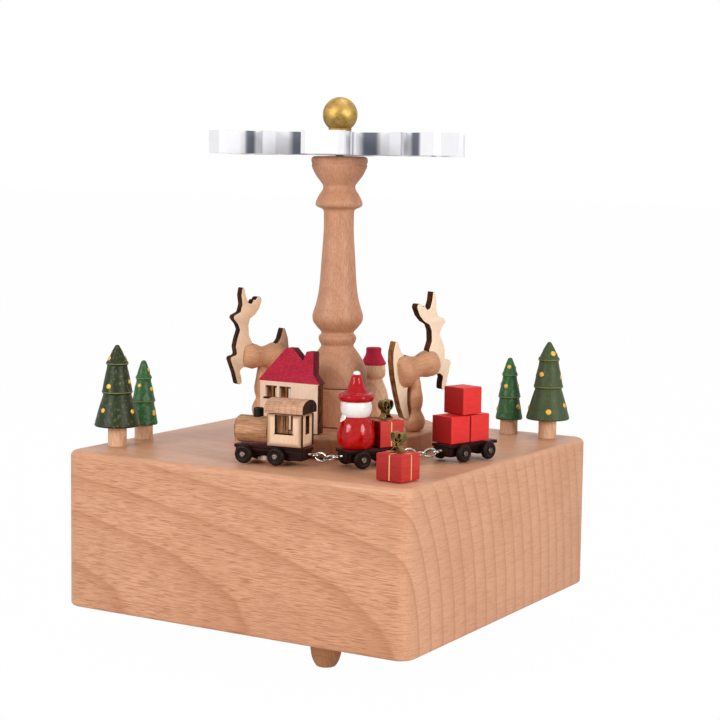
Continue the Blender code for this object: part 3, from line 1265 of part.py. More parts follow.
def build_comb(comb_left, comb_top):
    """The steel comb, its tines reaching to the cylinder."""
    pinion_in, pinion_out, bearing_in, drum_in, drum_out = cylinder_ends()
    tip = comb_left - COMB_TINE_LENGTH
    back = comb_left + COMB_BASE_WIDTH
    low = drum_in + 2 * GAP
    high = drum_out - GAP
    pitch = (high - low) / COMB_TINES
    outline = [(back, low), (back, high)]
    for tine in range(COMB_TINES):
        top = high - tine * pitch
        bottom = top - pitch + COMB_SLIT
        outline += [(tip, top), (tip, bottom)]
        if tine + 1 < COMB_TINES:
            outline += [(comb_left, bottom), (comb_left, bottom - COMB_SLIT)]
    outline[-1] = (tip, low)
    comb = plate("comb", outline, COMB_THICKNESS, steel())
    comb.location.z = comb_top + GAP


def build_governor(spot):
    """The air brake that keeps the speed: an arbor with a worm and two blades."""
    low = BED_BOTTOM + GAP
    high = BED_TOP + GOVERNOR_HEIGHT
    worm_low = BED_TOP + GOVERNOR_HEIGHT * WORM_LOW
    worm_high = BED_TOP + GOVERNOR_HEIGHT * WORM_HIGH
    arbor = GOVERNOR_ARBOR_RADIUS
    fan = turned("governor_fan", ((arbor, high), (arbor, worm_high), (2 * arbor, worm_high),
                                  (2 * arbor, worm_low), (arbor, worm_low), (arbor, BED_TOP + 2 * GAP),
                                  (arbor, low)), brass(), segments=SMALL_SEGMENTS)
    fan.location = (*spot, 0.0)
    blades = block("governor_blades", (2 * GOVERNOR_RADIUS, GOVERNOR_BLADE, GOVERNOR_BLADE_HEIGHT),
                   None, CUTTERS)
    blades.location = (*spot, high - GAP - GOVERNOR_BLADE_HEIGHT / 2)
    join(fan, blades)


def build_movement():
    build_magnet_arm()
    build_barrel()
    build_key()
    comb_left, comb_top, governor_spot = build_bedplate()
    build_cylinder()
    build_comb(comb_left, comb_top)
    build_governor(governor_spot)


def main():
    start_empty_scene()
    build_base()
    build_bottom()
    build_column()
    build_rotor()
    build_house()
    for side in DEER_PLACES:
        build_deer(side)
    build_peg_figure()
    build_trees()
    build_front_gift()
    build_train()
    build_movement()
    bpy.context.view_layer.update()


main()
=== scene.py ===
import math
import random

import bmesh
import bpy
from mathutils import Matrix, Vector


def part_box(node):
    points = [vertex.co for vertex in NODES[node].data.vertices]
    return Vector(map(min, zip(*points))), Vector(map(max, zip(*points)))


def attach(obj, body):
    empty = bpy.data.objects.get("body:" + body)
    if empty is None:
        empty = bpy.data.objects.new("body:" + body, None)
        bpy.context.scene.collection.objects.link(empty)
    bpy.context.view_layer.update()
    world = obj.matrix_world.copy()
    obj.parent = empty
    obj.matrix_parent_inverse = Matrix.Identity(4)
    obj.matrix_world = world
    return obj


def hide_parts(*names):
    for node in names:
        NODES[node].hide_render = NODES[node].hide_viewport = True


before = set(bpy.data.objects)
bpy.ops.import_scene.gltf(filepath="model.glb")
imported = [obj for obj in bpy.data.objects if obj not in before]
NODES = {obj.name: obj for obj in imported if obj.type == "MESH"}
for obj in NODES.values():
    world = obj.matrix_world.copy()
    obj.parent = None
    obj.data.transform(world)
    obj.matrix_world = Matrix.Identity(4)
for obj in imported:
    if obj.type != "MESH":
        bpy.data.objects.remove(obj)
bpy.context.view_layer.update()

# Heights above the table, with the part's clearance between pieces
GAP = 0.0003
BOX_FLOOR = 0.013
LID = 0.061
DISC = 0.0058
STAND = LID + DISC + 2 * GAP
PEDESTAL = 0.0117
COLUMN_FOOT = STAND + PEDESTAL + GAP
ROTOR_TOP = 0.1581
PLY = 0.0031
# The camera's heading, in degrees from +y towards +x
VIEW_YAW = -30.57


# Materials
def rgb(code):
    """A hex colour as linear values."""
    parts = [int(code[i:i + 2], 16) / 255 for i in (0, 2, 4)]
    return tuple(c / 12.92 if c <= 0.04045 else ((c + 0.055) / 1.055) ** 2.4 for c in parts) + (1.0,)


class Surface:
    """A material and the few calls that lay out its nodes."""

    def __init__(self, name, roughness=0.5, metallic=0.0, coat=0.0, specular=0.5):
        self.material = bpy.data.materials.new(name)
        self.material.use_nodes = True
        self.nodes = self.material.node_tree.nodes
        self.links = self.material.node_tree.links
        self.shader = self.nodes["Principled BSDF"]
        self.shader.inputs["Roughness"].default_value = roughness
        self.shader.inputs["Metallic"].default_value = metallic
        self.shader.inputs["Coat Weight"].default_value = coat
        self.shader.inputs["Coat Roughness"].default_value = 0.12
        self.shader.inputs["Specular IOR Level"].default_value = specular
        self.place = self.nodes.new("ShaderNodeTexCoord").outputs["Object"]

    def link(self, source, target):
        """Sets a number or a colour, or links an output."""
        if isinstance(source, str):
            source = rgb(source)
        if isinstance(source, (int, float, tuple)):
            target.default_value = source
        else:
            self.links.new(source, target)

    def math(self, kind, a, b=0.0):
        node = self.nodes.new("ShaderNodeMath")
        node.operation = kind
        self.link(a, node.inputs[0])
        self.link(b, node.inputs[1])
        return node.outputs[0]

    def times(self, a, b):
        return self.math("MULTIPLY", a, b)

    def plus(self, a, b):
        return self.math("ADD", a, b)

    def minus(self, a, b):
        return self.math("SUBTRACT", a, b)

    def vector(self, kind, source, amount=(0.0, 0.0, 0.0)):
        node = self.nodes.new("ShaderNodeVectorMath")
        node.operation = kind
        self.link(source, node.inputs[0])
        node.inputs[1].default_value = amount
        return node

    def scaled(self, source, x, y, z):
        return self.vector("MULTIPLY", source, (x, y, z)).outputs[0]

    def shifted(self, source, x, y, z):
        return self.vector("ADD", source, (x, y, z)).outputs[0]

    def length(self, source):
        return self.vector("LENGTH", source).outputs["Value"]

    def turned(self, vector, x, y, z):
        node = self.nodes.new("ShaderNodeMapping")
        self.link(vector, node.inputs["Vector"])
        node.inputs["Rotation"].default_value = (math.radians(x), math.radians(y), math.radians(z))
        return node.outputs[0]

    def axis(self, vector, name):
        node = self.nodes.new("ShaderNodeSeparateXYZ")
        self.link(vector, node.inputs[0])
        return node.outputs[name]

    def noise(self, vector, scale=1.0, detail=2.0, rough=0.5):
        node = self.nodes.new("ShaderNodeTexNoise")
        self.link(vector, node.inputs["Vector"])
        node.inputs["Scale"].default_value = scale
        node.inputs["Detail"].default_value = detail
        node.inputs["Roughness"].default_value = rough
        return node.outputs["Fac"]

    def ramp(self, value, *stops):
        """Stops are (place, value or colour)."""
        node = self.nodes.new("ShaderNodeValToRGB")
        self.link(value, node.inputs[0])
        marks = node.color_ramp.elements
        while len(marks) < len(stops):
            marks.new(0.5)
        for mark, (position, colour) in zip(marks, stops):
            mark.position = position
            if isinstance(colour, (int, float)):
                colour = (colour, colour, colour, 1.0)
            mark.color = colour
        return node.outputs[0]

    def mix(self, share, a, b):
        """The colour a, with its share of the colour b over it."""
        node = self.nodes.new("ShaderNodeMix")
        node.data_type = "RGBA"
        self.link(share, node.inputs[0])
        self.link(a, node.inputs[6])
        self.link(b, node.inputs[7])
        return node.outputs[2]

    def colour(self, source):
        self.link(source, self.shader.inputs["Base Color"])

    def rough(self, source):
        self.link(source, self.shader.inputs["Roughness"])

    def bump(self, height, strength=0.3, distance=0.0001):
        node = self.nodes.new("ShaderNodeBump")
        node.inputs["Strength"].default_value = strength
        node.inputs["Distance"].default_value = distance
        self.link(height, node.inputs["Height"])
        self.links.new(node.outputs[0], self.shader.inputs["Normal"])


def ring_lines(step, spread, x=0.0, z=0.0):
    """Growth rings a step apart along y that bend about the line at x and z."""
    return dict(y=1 / step, centre=(x, z), spread=spread)


def wood(name, light, dark, fleck, ring, grain=(0, 0, 0), flecks=0.45, lines=0.5, rough=0.5,
         seed=0.0, bump=0.25, fine=1.0, ring_share=0.75, scorch=None):
    """Solid wood. After the turn by grain degrees the fibres run along x and the rays along y.

    Scorch holds half sizes: the piece darkens towards the edges of that block.
    """
    s = Surface(name, rough, specular=0.35)
    p = s.turned(s.place, *grain)
    p = s.shifted(p, seed * 0.013, seed * 0.007, seed * 0.011)
    warp = s.noise(s.scaled(p, 14 * fine, 30 * fine, 30 * fine), 1.0, 2.0)
    wander = s.noise(s.scaled(p, 60 * fine, 160 * fine, 160 * fine), 1.0, 3.0)
    if "pith" in ring:
        # Rings about a centre line that drifts along the board and that grow closer outwards
        side = s.plus(s.times(s.axis(p, "X"), ring["drift"]), s.axis(p, "Y"))
        side = s.minus(side, ring["pith"][0])
        rise = s.minus(s.axis(p, "Z"), ring["pith"][1])
        reach = s.math("SQRT", s.plus(s.times(side, side), s.times(rise, rise)))
        grown = s.plus(s.times(reach, ring["growth"][1]), ring["growth"][0])
        field = s.plus(s.times(reach, grown), ring["phase"])
    else:
        depth = s.times(s.axis(p, "Y"), ring["y"])
        flat = s.scaled(s.shifted(p, -ring["centre"][0], 0.0, -ring["centre"][1]), 1.0, 0.0, 1.0)
        reach = s.math("DIVIDE", s.length(flat), ring["spread"])
        field = s.plus(depth, reach)
    field = s.plus(field, s.times(warp, ring.get("warp", 0.7)))
    field = s.plus(field, s.times(wander, 0.14))
    band = s.ramp(s.math("FRACT", field), (0.0, 0.0), (0.50, 0.06), (0.80, 0.36), (0.94, 1.0), (0.985, 0.05))
    fibre = s.noise(s.scaled(p, 230 * fine, 2500 * fine, 2500 * fine), 1.0, 3.0, 0.62)
    ray = s.noise(s.scaled(p, 210 * fine, 170 * fine, 5200 * fine), 1.0, 1.5, 0.4)
    ray = s.ramp(ray, (0.55, 0.0), (0.62, 1.0))
    thread = s.noise(s.scaled(p, 100 * fine, 150 * fine, 6800 * fine), 1.0, 2.0, 0.5)
    ray = s.math("MAXIMUM", ray, s.times(s.ramp(thread, (0.53, 0.0), (0.62, 1.0)), 0.7))
    # Past these distances, on the end faces and the lid, only a share of the rays is left
    for axis, limit, rest in ring.get("calm", ()):
        reach = s.times(s.math("ABSOLUTE", s.axis(p, axis)), 10.0)
        calm = s.ramp(reach, (limit * 10 - 0.03, 1.0), (limit * 10, rest))
        ray = s.times(ray, calm)
        if axis == "Z":
            band = s.times(band, s.ramp(calm, (0.0, 0.25), (1.0, 1.0)))
    cloud = s.noise(s.scaled(p, 25, 60, 60), 1.0, 2.0)
    body = s.mix(s.times(band, ring_share), light, dark)
    body = s.mix(s.ramp(cloud, (0.35, 0.0), (0.70, 0.3)), body, dark)
    body = s.mix(s.times(s.ramp(fibre, (0.40, 0.0), (0.72, 1.0)), lines), body, dark)
    body = s.mix(s.times(ray, flecks), body, fleck)
    if scorch is not None:
        near = []
        for axis, half in zip("XYZ", scorch):
            away = s.minus(half, s.math("ABSOLUTE", s.axis(s.place, axis)))
            away = s.minus(away, s.times(wander, 0.0010))
            near.append(s.ramp(s.plus(s.times(away, 600.0), 0.4), (0.12, 1.0), (0.85, 0.0)))
        pairs = [s.math("MINIMUM", near[a], near[b]) for a, b in ((0, 1), (1, 2), (0, 2))]
        burnt = s.math("MAXIMUM", s.math("MAXIMUM", pairs[0], pairs[1]), pairs[2])
        body = s.mix(s.times(burnt, 0.85), body, "74431F")
    s.colour(body)
    s.rough(s.plus(s.times(fibre, 0.2), rough - 0.1))
    relief = s.minus(fibre, s.times(ray, 0.7))
    s.bump(relief, bump, 0.00005)
    return s.material


def paint(name, base, deep, rough=0.5, coat=0.0, grain=0.25, scale=700.0, stretch=(1, 1, 1), bump=0.15,
          wear=None, specular=0.5, worn=(0.66, 0.72, 0.6)):
    """Paint over wood: slightly uneven colour, with the fibres showing in the relief."""
    s = Surface(name, rough, coat=coat, specular=specular)
    p = s.scaled(s.place, *stretch)
    patch = s.noise(p, scale * 0.12, 3.0, 0.6)
    fine = s.noise(p, scale, 4.0, 0.6)
    body = s.mix(s.times(s.ramp(fine, (0.35, 0.0), (0.75, 1.0)), grain), base, deep)
    body = s.mix(s.ramp(patch, (0.45, 0.0), (0.80, 0.45)), body, deep)
    if wear is not None:
        rubbed = s.ramp(s.noise(p, scale * 0.5, 5.0, 0.7), (worn[0], 0.0), (worn[1], worn[2]))
        body = s.mix(rubbed, body, wear)
    s.colour(body)
    s.rough(s.plus(s.times(fine, 0.25), rough - 0.12))
    s.bump(fine, bump, 0.00008)
    return s.material


def metal(name, base, deep, rough=0.3, scale=900.0, tarnish=0.4, bump=0.08):
    """Metal with darker patches of tarnish."""
    s = Surface(name, rough, 1.0)
    patch = s.noise(s.place, scale * 0.3, 4.0, 0.6)
    fine = s.noise(s.place, scale * 2.5, 3.0)
    s.colour(s.mix(s.ramp(patch, (0.42, 0.0), (0.70, tarnish)), base, deep))
    s.rough(s.plus(s.times(fine, 0.3), rough - 0.1))
    s.bump(fine, bump, 0.00005)
    return s.material


PLY_LOOK = dict(ring=ring_lines(0.02, 0.006, 0.02), fine=1.2, ring_share=0.3)
BEECH_LIGHT = "E0A885"
BEECH_DARK = "BE8460"
BEECH_FLECK = "A5683F"
box_wood = wood("beech_box", BEECH_LIGHT, BEECH_DARK, BEECH_FLECK,
                ring=dict(pith=(-0.1064, 0.013), drift=0.161, growth=(113.0, 186.0), phase=-0.03, warp=0.16,
                          calm=(("X", 0.0595, 0.4), ("Z", 0.0609, 0.12))),
                seed=0.0, lines=0.55, flecks=0.7, ring_share=0.8, rough=0.42)
column_wood = wood("beech_column", "CE9776", "A56F50", "92603F", grain=(0, 90, 20), seed=2.0, lines=0.6,
                   ring=ring_lines(0.0036, 0.2), ring_share=0.3, fine=1.15, bump=0.15, flecks=0.3)
disc_wood = wood("beech_disc", "D8A27A", "BA8258", BEECH_FLECK, grain=(0, 0, 12),
                 ring=ring_lines(0.006, 0.03, -0.05, -0.05), seed=5.0)
post_wood = wood("beech_post", "D9A279", "BC8259", "A87048", grain=(0, 90, 50), ring=ring_lines(0.003, 0.03),
                 seed=9.0, fine=1.3)
trunk_wood = wood("beech_trunk", "E9C09C", "CB9670", "B9835C", grain=(0, 90, 10), seed=4.0, fine=1.3,
                  ring=ring_lines(0.003, 0.03))
plate_wood = wood("beech_plate", "DDB491", "C69570", BEECH_FLECK, grain=(90, 0, 0), flecks=0.35,
                  ring=ring_lines(0.012, 0.06, -0.05, -0.05), seed=6.0)
body_wood = wood("beech_deer", "DAA47E", "B67E58", "96613F", grain=(0, 0, 25), flecks=0.5,
                 ring=ring_lines(0.0035, 0.04), seed=7.0, fine=2.2, ring_share=0.4)
boiler_wood = wood("beech_boiler", "CF9B72", "9C6844", "7E4E30", flecks=0.75, lines=0.8,
                   ring=ring_lines(0.0024, 0.05), seed=3.0, fine=1.3)
roof_wood = wood("beech_roof", "DFAF8E", "B07E5C", "8C5C3C", flecks=0.6, lines=0.8, grain=(0, 0, 90),
                 ring=ring_lines(0.002, 0.05), seed=8.0, fine=1.3)
ply_face = wood("ply_face", "F5D8C2", "E2BB98", "D4AA84", grain=(0, 90, 0), flecks=0.25, seed=1.0,
                lines=0.35, **PLY_LOOK)
cab_ply = wood("ply_cab", "F1D0B2", "DDB490", "CFA078", grain=(0, 90, 0), flecks=0.3, seed=1.0, lines=0.4,
               scorch=(0.0055, 0.0042, 0.0047), **PLY_LOOK)
# A darker copy of the pale ply for the left deer: painted shade
ply_pale_shaded = wood("ply_pale_shaded", "E8C6A6", "D6AE8A", "C89E7A", grain=(0, 60, 0), flecks=0.25, seed=12.0,
                lines=0.3, **PLY_LOOK)
ply_pale = wood("ply_pale", "F6DFC4", "EBCBA6", "DDB88F", grain=(0, 60, 0), flecks=0.2, seed=12.0,
                lines=0.3, **PLY_LOOK)


def burnt_edge(name, light, dark, seed):
    """Edge of laser-cut ply: charred, with paler layers where the char is thin."""
    s = Surface(name, 0.75, specular=0.08)
    p = s.shifted(s.place, seed, seed, 0.0)
    layer = s.noise(s.scaled(p, 150, 2600, 150), 1.0, 2.0)
    blot = s.noise(p, 420.0, 4.0, 0.65)
    thin = s.ramp(s.plus(s.times(layer, 0.6), s.times(blot, 0.5)), (0.46, 0.0), (0.66, 1.0))
    s.colour(s.mix(thin, dark, light))
    s.bump(blot, 0.35, 0.00012)
    return s.material


char = burnt_edge("burnt_edge", "5A341E", "180C08", 0.0)
roof_end = burnt_edge("roof_end", "40281C", "1C120F", 0.05)
wall_edge = burnt_edge("wall_edge", "7A4A2A", "351B10", 0.04)
char_warm = burnt_edge("burnt_edge_warm", "A36A3C", "4A2816", 0.03)
crimson = paint("crimson_paint", "C82A46", "8E1428", 0.66, grain=0.9, scale=2600.0, stretch=(0.5, 1, 0.8),
                bump=0.6, specular=0.15, wear="E0587A", worn=(0.6, 0.7, 0.35))
maroon = paint("maroon_edge", "6E1424", "34080F", 0.6, grain=0.9, scale=1500.0, specular=0.2)
gloss_red = paint("gloss_red", "C20A08", "740404", 0.12, grain=0.7, scale=700.0, bump=0.8, specular=0.3)
hat_red = paint("hat_red", "BC0C1A", "7C0610", 0.13, grain=0.7, scale=700.0, bump=0.8, specular=0.2)
satin_red = paint("satin_red", "E42A22", "CC1E1C", 0.50, grain=0.45, scale=1400.0, stretch=(0.2, 0.2, 1.0),
                  bump=0.22, specular=0.35)
# A darker copy of the satin red for the blocks' faces along x: painted shade
satin_shaded = paint("satin_red_shaded", "A01412", "7C0A0A", 0.55, grain=0.6, scale=2200.0, bump=0.3, specular=0.2)
PAPER_LOOK = dict(grain=0.6, scale=1800.0, stretch=(0.15, 0.15, 1.0), bump=0.3)
paper_red = paint("paper_red", "CC342A", "A6221E", 0.55, specular=0.3, **PAPER_LOOK)
# Darker copies of the red paper for the presents' faces along one axis: painted shade
paper_shaded = paint("paper_red_shaded", "B02620", "921A18", 0.55, specular=0.25, **PAPER_LOOK)
paper_deep_shade = paint("paper_red_deep_shade", "8A1210", "660A0A", 0.55, specular=0.2, **PAPER_LOOK)
deck_red = paint("deck_red", "7C222E", "48121C", 0.5, grain=0.5, scale=900.0, specular=0.2)
white_gloss = paint("white_gloss", "F3F0EC", "DEDAD6", 0.30, coat=0.3, grain=0.25, scale=420.0, bump=0.3)


def snow_paint_with_gap_shade():
    """White paint with painted shade: dark grey-blue on the walls of the gaps deep between the arms."""
    s = Surface("snow_white_gap_shade", 0.55, specular=0.2)
    facing = s.axis(s.nodes.new("ShaderNodeNewGeometry").outputs["Normal"], "Z")
    wall = s.ramp(s.math("ABSOLUTE", facing), (0.3, 1.0), (0.7, 0.0))
    reach = s.times(s.length(s.scaled(s.place, 1, 1, 0)), 10.0)
    deep = s.ramp(reach, (0.13, 0.0), (0.145, 0.9), (0.175, 0.9), (0.19, 0.06), (0.285, 0.06), (0.295, 0.9),
                  (0.315, 0.9), (0.325, 0.0))
    fine = s.noise(s.place, 500.0, 4.0, 0.6)
    body = s.mix(s.times(fine, 0.4), "F0F0F3", "DEDFE6")
    # Painted shade: the walls of the deep gaps between the arms take dark grey-blue
    s.colour(s.mix(s.times(wall, deep), body, "3E4658"))
    s.rough(s.plus(s.times(fine, 0.25), 0.42))
    s.bump(fine, 0.15, 0.00008)
    return s.material


snow_white_gap_shade = snow_paint_with_gap_shade()
skin = paint("skin", "EFC3A4", "E2AC8C", 0.4, coat=0.2, grain=0.2, scale=500.0)
dark_green = paint("dark_green", "323C1E", "10180A", 0.36, grain=1.0, scale=2400.0, stretch=(1, 1, 0.7),
                   bump=1.0, wear="8A9058", specular=0.2, worn=(0.55, 0.66, 0.5))
leaf_green = paint("leaf_green", "3C6C42", "204A28", 0.36, grain=0.9, scale=2000.0, stretch=(1, 1, 0.6),
                   bump=0.8, wear="7C9E66", specular=0.2, worn=(0.54, 0.64, 0.6))
back_green = paint("back_green", "4C5838", "343F24", 0.45, grain=0.8, scale=1800.0, stretch=(1, 1, 0.6),
                   bump=0.6, specular=0.2, wear="8A9468", worn=(0.58, 0.70, 0.4))
lime = paint("lime_line", "848A44", "586430", 0.5, grain=0.5, scale=1500.0)
dot_yellow = paint("dot_yellow", "F2BC3C", "D89A24", 0.40, coat=0.3, grain=0.3, scale=800.0)
black = paint("black_paint", "121114", "080709", 0.42, grain=0.4, scale=800.0, specular=0.2)
dark_stain = paint("dark_stain", "281210", "130807", 0.5, grain=0.6, scale=1200.0, stretch=(0.3, 1, 1),
                   bump=0.35, wear="45221E", specular=0.1)
wheel_stain = paint("wheel_stain", "24150F", "110907", 0.4, grain=0.6, scale=1500.0, bump=0.45,
                    wear="4A3228", specular=0.12)
ribbon_gold = paint("ribbon_gold", "E8C98A", "C9A25C", 0.4, grain=0.4, scale=1500.0)
matt_gold = metal("matt_gold", "BE9C58", "86682E", 0.42, 1600.0, 0.8, 0.8)
antique = metal("antique_brass", "8A7442", "3A3220", 0.32, 900.0, 0.9, 0.4)
nickel = metal("nickel", "CBC6C0", "5A504A", 0.16, 1500.0, 0.9)
pin_steel = metal("pin_steel", "80726A", "281C18", 0.28, 2600.0, 1.0, 0.9)
steel = metal("steel", "C4C4C4", "909090", 0.28)
brass = metal("brass", "D6B064", "9E7A3C", 0.28)
# Painted shade for the inside of the hollow cab, seen through its windows
cab_inside_shade = paint("cab_inside_shade", "3A2A20", "22170F", 0.7, grain=0.4, scale=900.0)


# Shapes
def repaint(node, material):
    """A solid that shows as built takes its look."""
    piece = NODES[node]
    piece.data.materials.clear()
    piece.data.materials.append(material)
    return piece


def mm(points):
    """Points given in millimetres."""
    return [(a * 0.001, b * 0.001) for a, b in points]


def new_object(name, data):
    made = bpy.data.objects.new(name, data)
    bpy.context.scene.collection.objects.link(made)
    return made


def evaluated(holder):
    """The plain mesh of an object with its curve or modifiers worked out."""
    bpy.context.view_layer.update()
    return bpy.data.meshes.new_from_object(holder.evaluated_get(bpy.context.evaluated_depsgraph_get()))


def add(name, mesh, slot, body, place, *materials, node=None, smooth=35.0):
    """One piece in its place, riding on its body. The slot is not used. Node is the solid that it replaces.
    """
    mesh.validate()
    for material in materials:
        mesh.materials.append(material)
    for polygon in mesh.polygons:
        polygon.use_smooth = True
    mesh.set_sharp_from_angle(angle=math.radians(smooth))
    piece = new_object(name, mesh)
    piece.matrix_world = place
    bpy.context.view_layer.update()
    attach(piece, body)
    if node is not None:
        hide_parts(node)
    return piece


def closed(bm):
    """A mesh from the finished faces, all of them facing outwards."""
    bmesh.ops.remove_doubles(bm, verts=bm.verts, dist=1e-7)
    bmesh.ops.recalc_face_normals(bm, faces=bm.faces)
    mesh = bpy.data.meshes.new("shape")
    bm.to_mesh(mesh)
    bm.free()
    return mesh


def eased(points, steps=5, sharp=42.0):
    """The points with soft bends rounded and sharp ones kept."""
    count = len(points)
    corner = [True] * count
    for i in range(1, count - 1):
        a = Vector(points[i]) - Vector(points[i - 1])
        b = Vector(points[i + 1]) - Vector(points[i])
        corner[i] = math.degrees(a.angle(b)) > sharp
    path = []
    for i in range(count - 1):
        p1, p2 = Vector(points[i]), Vector(points[i + 1])
        p0 = p1 - (p2 - p1) if corner[i] else Vector(points[i - 1])
        p3 = p2 + (p2 - p1) if corner[i + 1] else Vector(points[i + 2])
        path.append(tuple(p1))
        if corner[i] and corner[i + 1]:
            continue
        reach = (p2 - p1).length
        t1 = (p2 - p0) * (reach / max((p2 - p0).length, 1e-9))
        t2 = (p3 - p1) * (reach / max((p3 - p1).length, 1e-9))
        for step in range(1, steps):
            t = step / steps
            h = (2 * t ** 3 - 3 * t ** 2 + 1, t ** 3 - 2 * t ** 2 + t, -2 * t ** 3 + 3 * t ** 2,
                 t ** 3 - t ** 2)
            path.append(tuple(p1 * h[0] + t1 * h[1] + p2 * h[2] + t2 * h[3]))
    path.append(tuple(points[-1]))
    return path


def lathe(profile, segments=64, steps=5, sharp=42.0, wobble=0.0, seed=1):
    """A turned shape about z from (radius, height) points."""
    path = eased(profile, steps, sharp)
    rand = random.Random(seed)
    bm = bmesh.new()
    rings = []
    for radius, height in path:
        if radius < 1e-6:
            rings.append([bm.verts.new((0.0, 0.0, height))])
            continue
        shake = rand.uniform(-wobble, wobble)
        rings.append([bm.verts.new(((radius + shake) * math.cos(math.tau * k / segments),
                                    (radius + shake) * math.sin(math.tau * k / segments), height))
                      for k in range(segments)])
    for a, b in zip(rings, rings[1:]):
        for k in range(segments):
            n = (k + 1) % segments
            if len(a) == 1 and len(b) == 1:
                continue
            if len(a) == 1:
                bm.faces.new((a[0], b[k], b[n]))
            elif len(b) == 1:
                bm.faces.new((a[k], b[0], a[n]))
            else:
                bm.faces.new((a[k], b[k], b[n], a[n]))
    for ring in (rings[0], rings[-1]):
        if len(ring) > 1:
            bm.faces.new(ring)
    return closed(bm)


def rounded(points, radius, steps=4, sharp=18.0):
    """A closed outline whose corners are rounded by a radius."""
    result = []
    count = len(points)
    for i in range(count):
        before, here, after = (Vector(points[(i + k) % count]) for k in (-1, 0, 1))
        a, b = before - here, after - here
        turn = math.degrees(math.pi - a.angle(b))
        if turn < sharp:
            result.append(tuple(here))
            continue
        half = (math.pi - math.radians(turn)) / 2
        reach = min(radius / math.tan(half), a.length * 0.45, b.length * 0.45)
        start = here + a.normalized() * reach
        end = here + b.normalized() * reach
        for step in range(steps + 1):
            t = step / steps
            result.append(tuple(start * (1 - t) ** 2 + here * 2 * t * (1 - t) + end * t ** 2))
    return result


def swept(points, **settings):
    """A mesh from a closed curve through the points, with the curve's settings."""
    curve = bpy.data.curves.new("path", "CURVE")
    for name, value in settings.items():
        setattr(curve, name, value)
    spline = curve.splines.new("POLY")
    spline.points.add(len(points) - 1)
    for point, place in zip(spline.points, points):
        point.co = (*place, 1.0)
    spline.use_cyclic_u = True
    holder = new_object("path", curve)
    mesh = evaluated(holder)
    mesh.materials.clear()
    bpy.data.objects.remove(holder)
    bpy.data.curves.remove(curve)
    bm = bmesh.new()
    bm.from_mesh(mesh)
    bpy.data.meshes.remove(mesh)
    return closed(bm)


def sheet(outline, thickness, bevel=0.00012):
    """A flat sheet from -thickness/2 to thickness/2 in z with fine rounded edges."""
    return swept([(x, y, 0.0) for x, y in outline], dimensions="2D", fill_mode="BOTH",
                 extrude=thickness / 2 - bevel, bevel_depth=bevel, bevel_resolution=1, offset=-bevel)


def upright(outline, thickness, bevel=0.00012):
    """A sheet that stands in the xz plane."""
    mesh = sheet(outline, thickness, bevel)
    mesh.transform(tilt(90, "X"))
    return mesh


def wire(points, radius, sides):
    """A closed ring of round wire."""
    return swept(points, dimensions="3D", bevel_depth=radius, bevel_resolution=max(1, sides // 4))


def slab(size, edge, segments=3):
    """A block about the origin with rounded edges."""
    bm = bmesh.new()
    bmesh.ops.create_cube(bm, size=1.0)
    bmesh.ops.scale(bm, vec=size, verts=bm.verts)
    if edge:
        bmesh.ops.bevel(bm, geom=list(bm.edges), offset=edge, segments=segments, profile=0.5,
                        affect="EDGES", clamp_overlap=True)
    return closed(bm)


def band(path, width, thickness):
    """A flat strip bent along (x, z) points, its width along y."""
    count = len(path)
    left, right = [], []
    for i in range(count):
        a = Vector(path[max(i - 1, 0)])
        b = Vector(path[min(i + 1, count - 1)])
        run = (b - a).normalized()
        side = Vector((-run.y, run.x)) * thickness / 2
        left.append(Vector(path[i]) + side)
        right.append(Vector(path[i]) - side)
    bm = bmesh.new()
    rows = []
    for a, b in zip(left, right):
        rows.append([bm.verts.new((a.x, -width / 2, a.y)), bm.verts.new((b.x, -width / 2, b.y)),
                     bm.verts.new((b.x, width / 2, b.y)), bm.verts.new((a.x, width / 2, a.y))])
    for a, b in zip(rows, rows[1:]):
        for k in range(4):
            n = (k + 1) % 4
            bm.faces.new((a[k], b[k], b[n], a[n]))
    bm.faces.new(rows[0])
    bm.faces.new(rows[-1])
    return closed(bm)


def cut(piece, *tools):
    """Takes the tools out of the piece and keeps the plain mesh."""
    for tool in tools:
        modifier = piece.modifiers.new("cut", "BOOLEAN")
        modifier.operation = "DIFFERENCE"
        modifier.solver = "EXACT"
        modifier.object = tool
    mesh = evaluated(piece)
    piece.modifiers.clear()
    piece.data = mesh
    for tool in tools:
        bpy.data.objects.remove(tool)


def tool_block(size, place, material):
    """A block for a cut, whose material the cut faces take."""
    mesh = slab(size, 0.0)
    mesh.materials.append(material)
    tool = new_object("tool", mesh)
    tool.matrix_world = place
    bpy.context.view_layer.update()
    return tool


def by_side(mesh, axis, face_index, edge_index, limit=0.7):
    """Faces along an axis take one material and the rest another."""
    for polygon in mesh.polygons:
        along = abs(polygon.normal[axis]) > limit
        polygon.material_index = face_index if along else edge_index


def ellipse(long, wide, height, count):
    turns = [math.tau * k / count for k in range(count)]
    return [(long * math.cos(turn), wide * math.sin(turn), height) for turn in turns]


def at(x, y, z, turn=0.0):
    """A place, turned about the vertical by degrees."""
    return Matrix.Translation((x, y, z)) @ Matrix.Rotation(math.radians(turn), 4, "Z")


def tilt(degrees, axis):
    return Matrix.Rotation(math.radians(degrees), 4, axis)


def middle_of(node):
    """Where a solid stands, seen from above."""
    low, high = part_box(node)
    return (low[0] + high[0]) / 2, (low[1] + high[1]) / 2


def spot(radius, degrees):
    """A place on a circle about the column."""
    return radius * math.cos(math.radians(degrees)), radius * math.sin(math.radians(degrees))


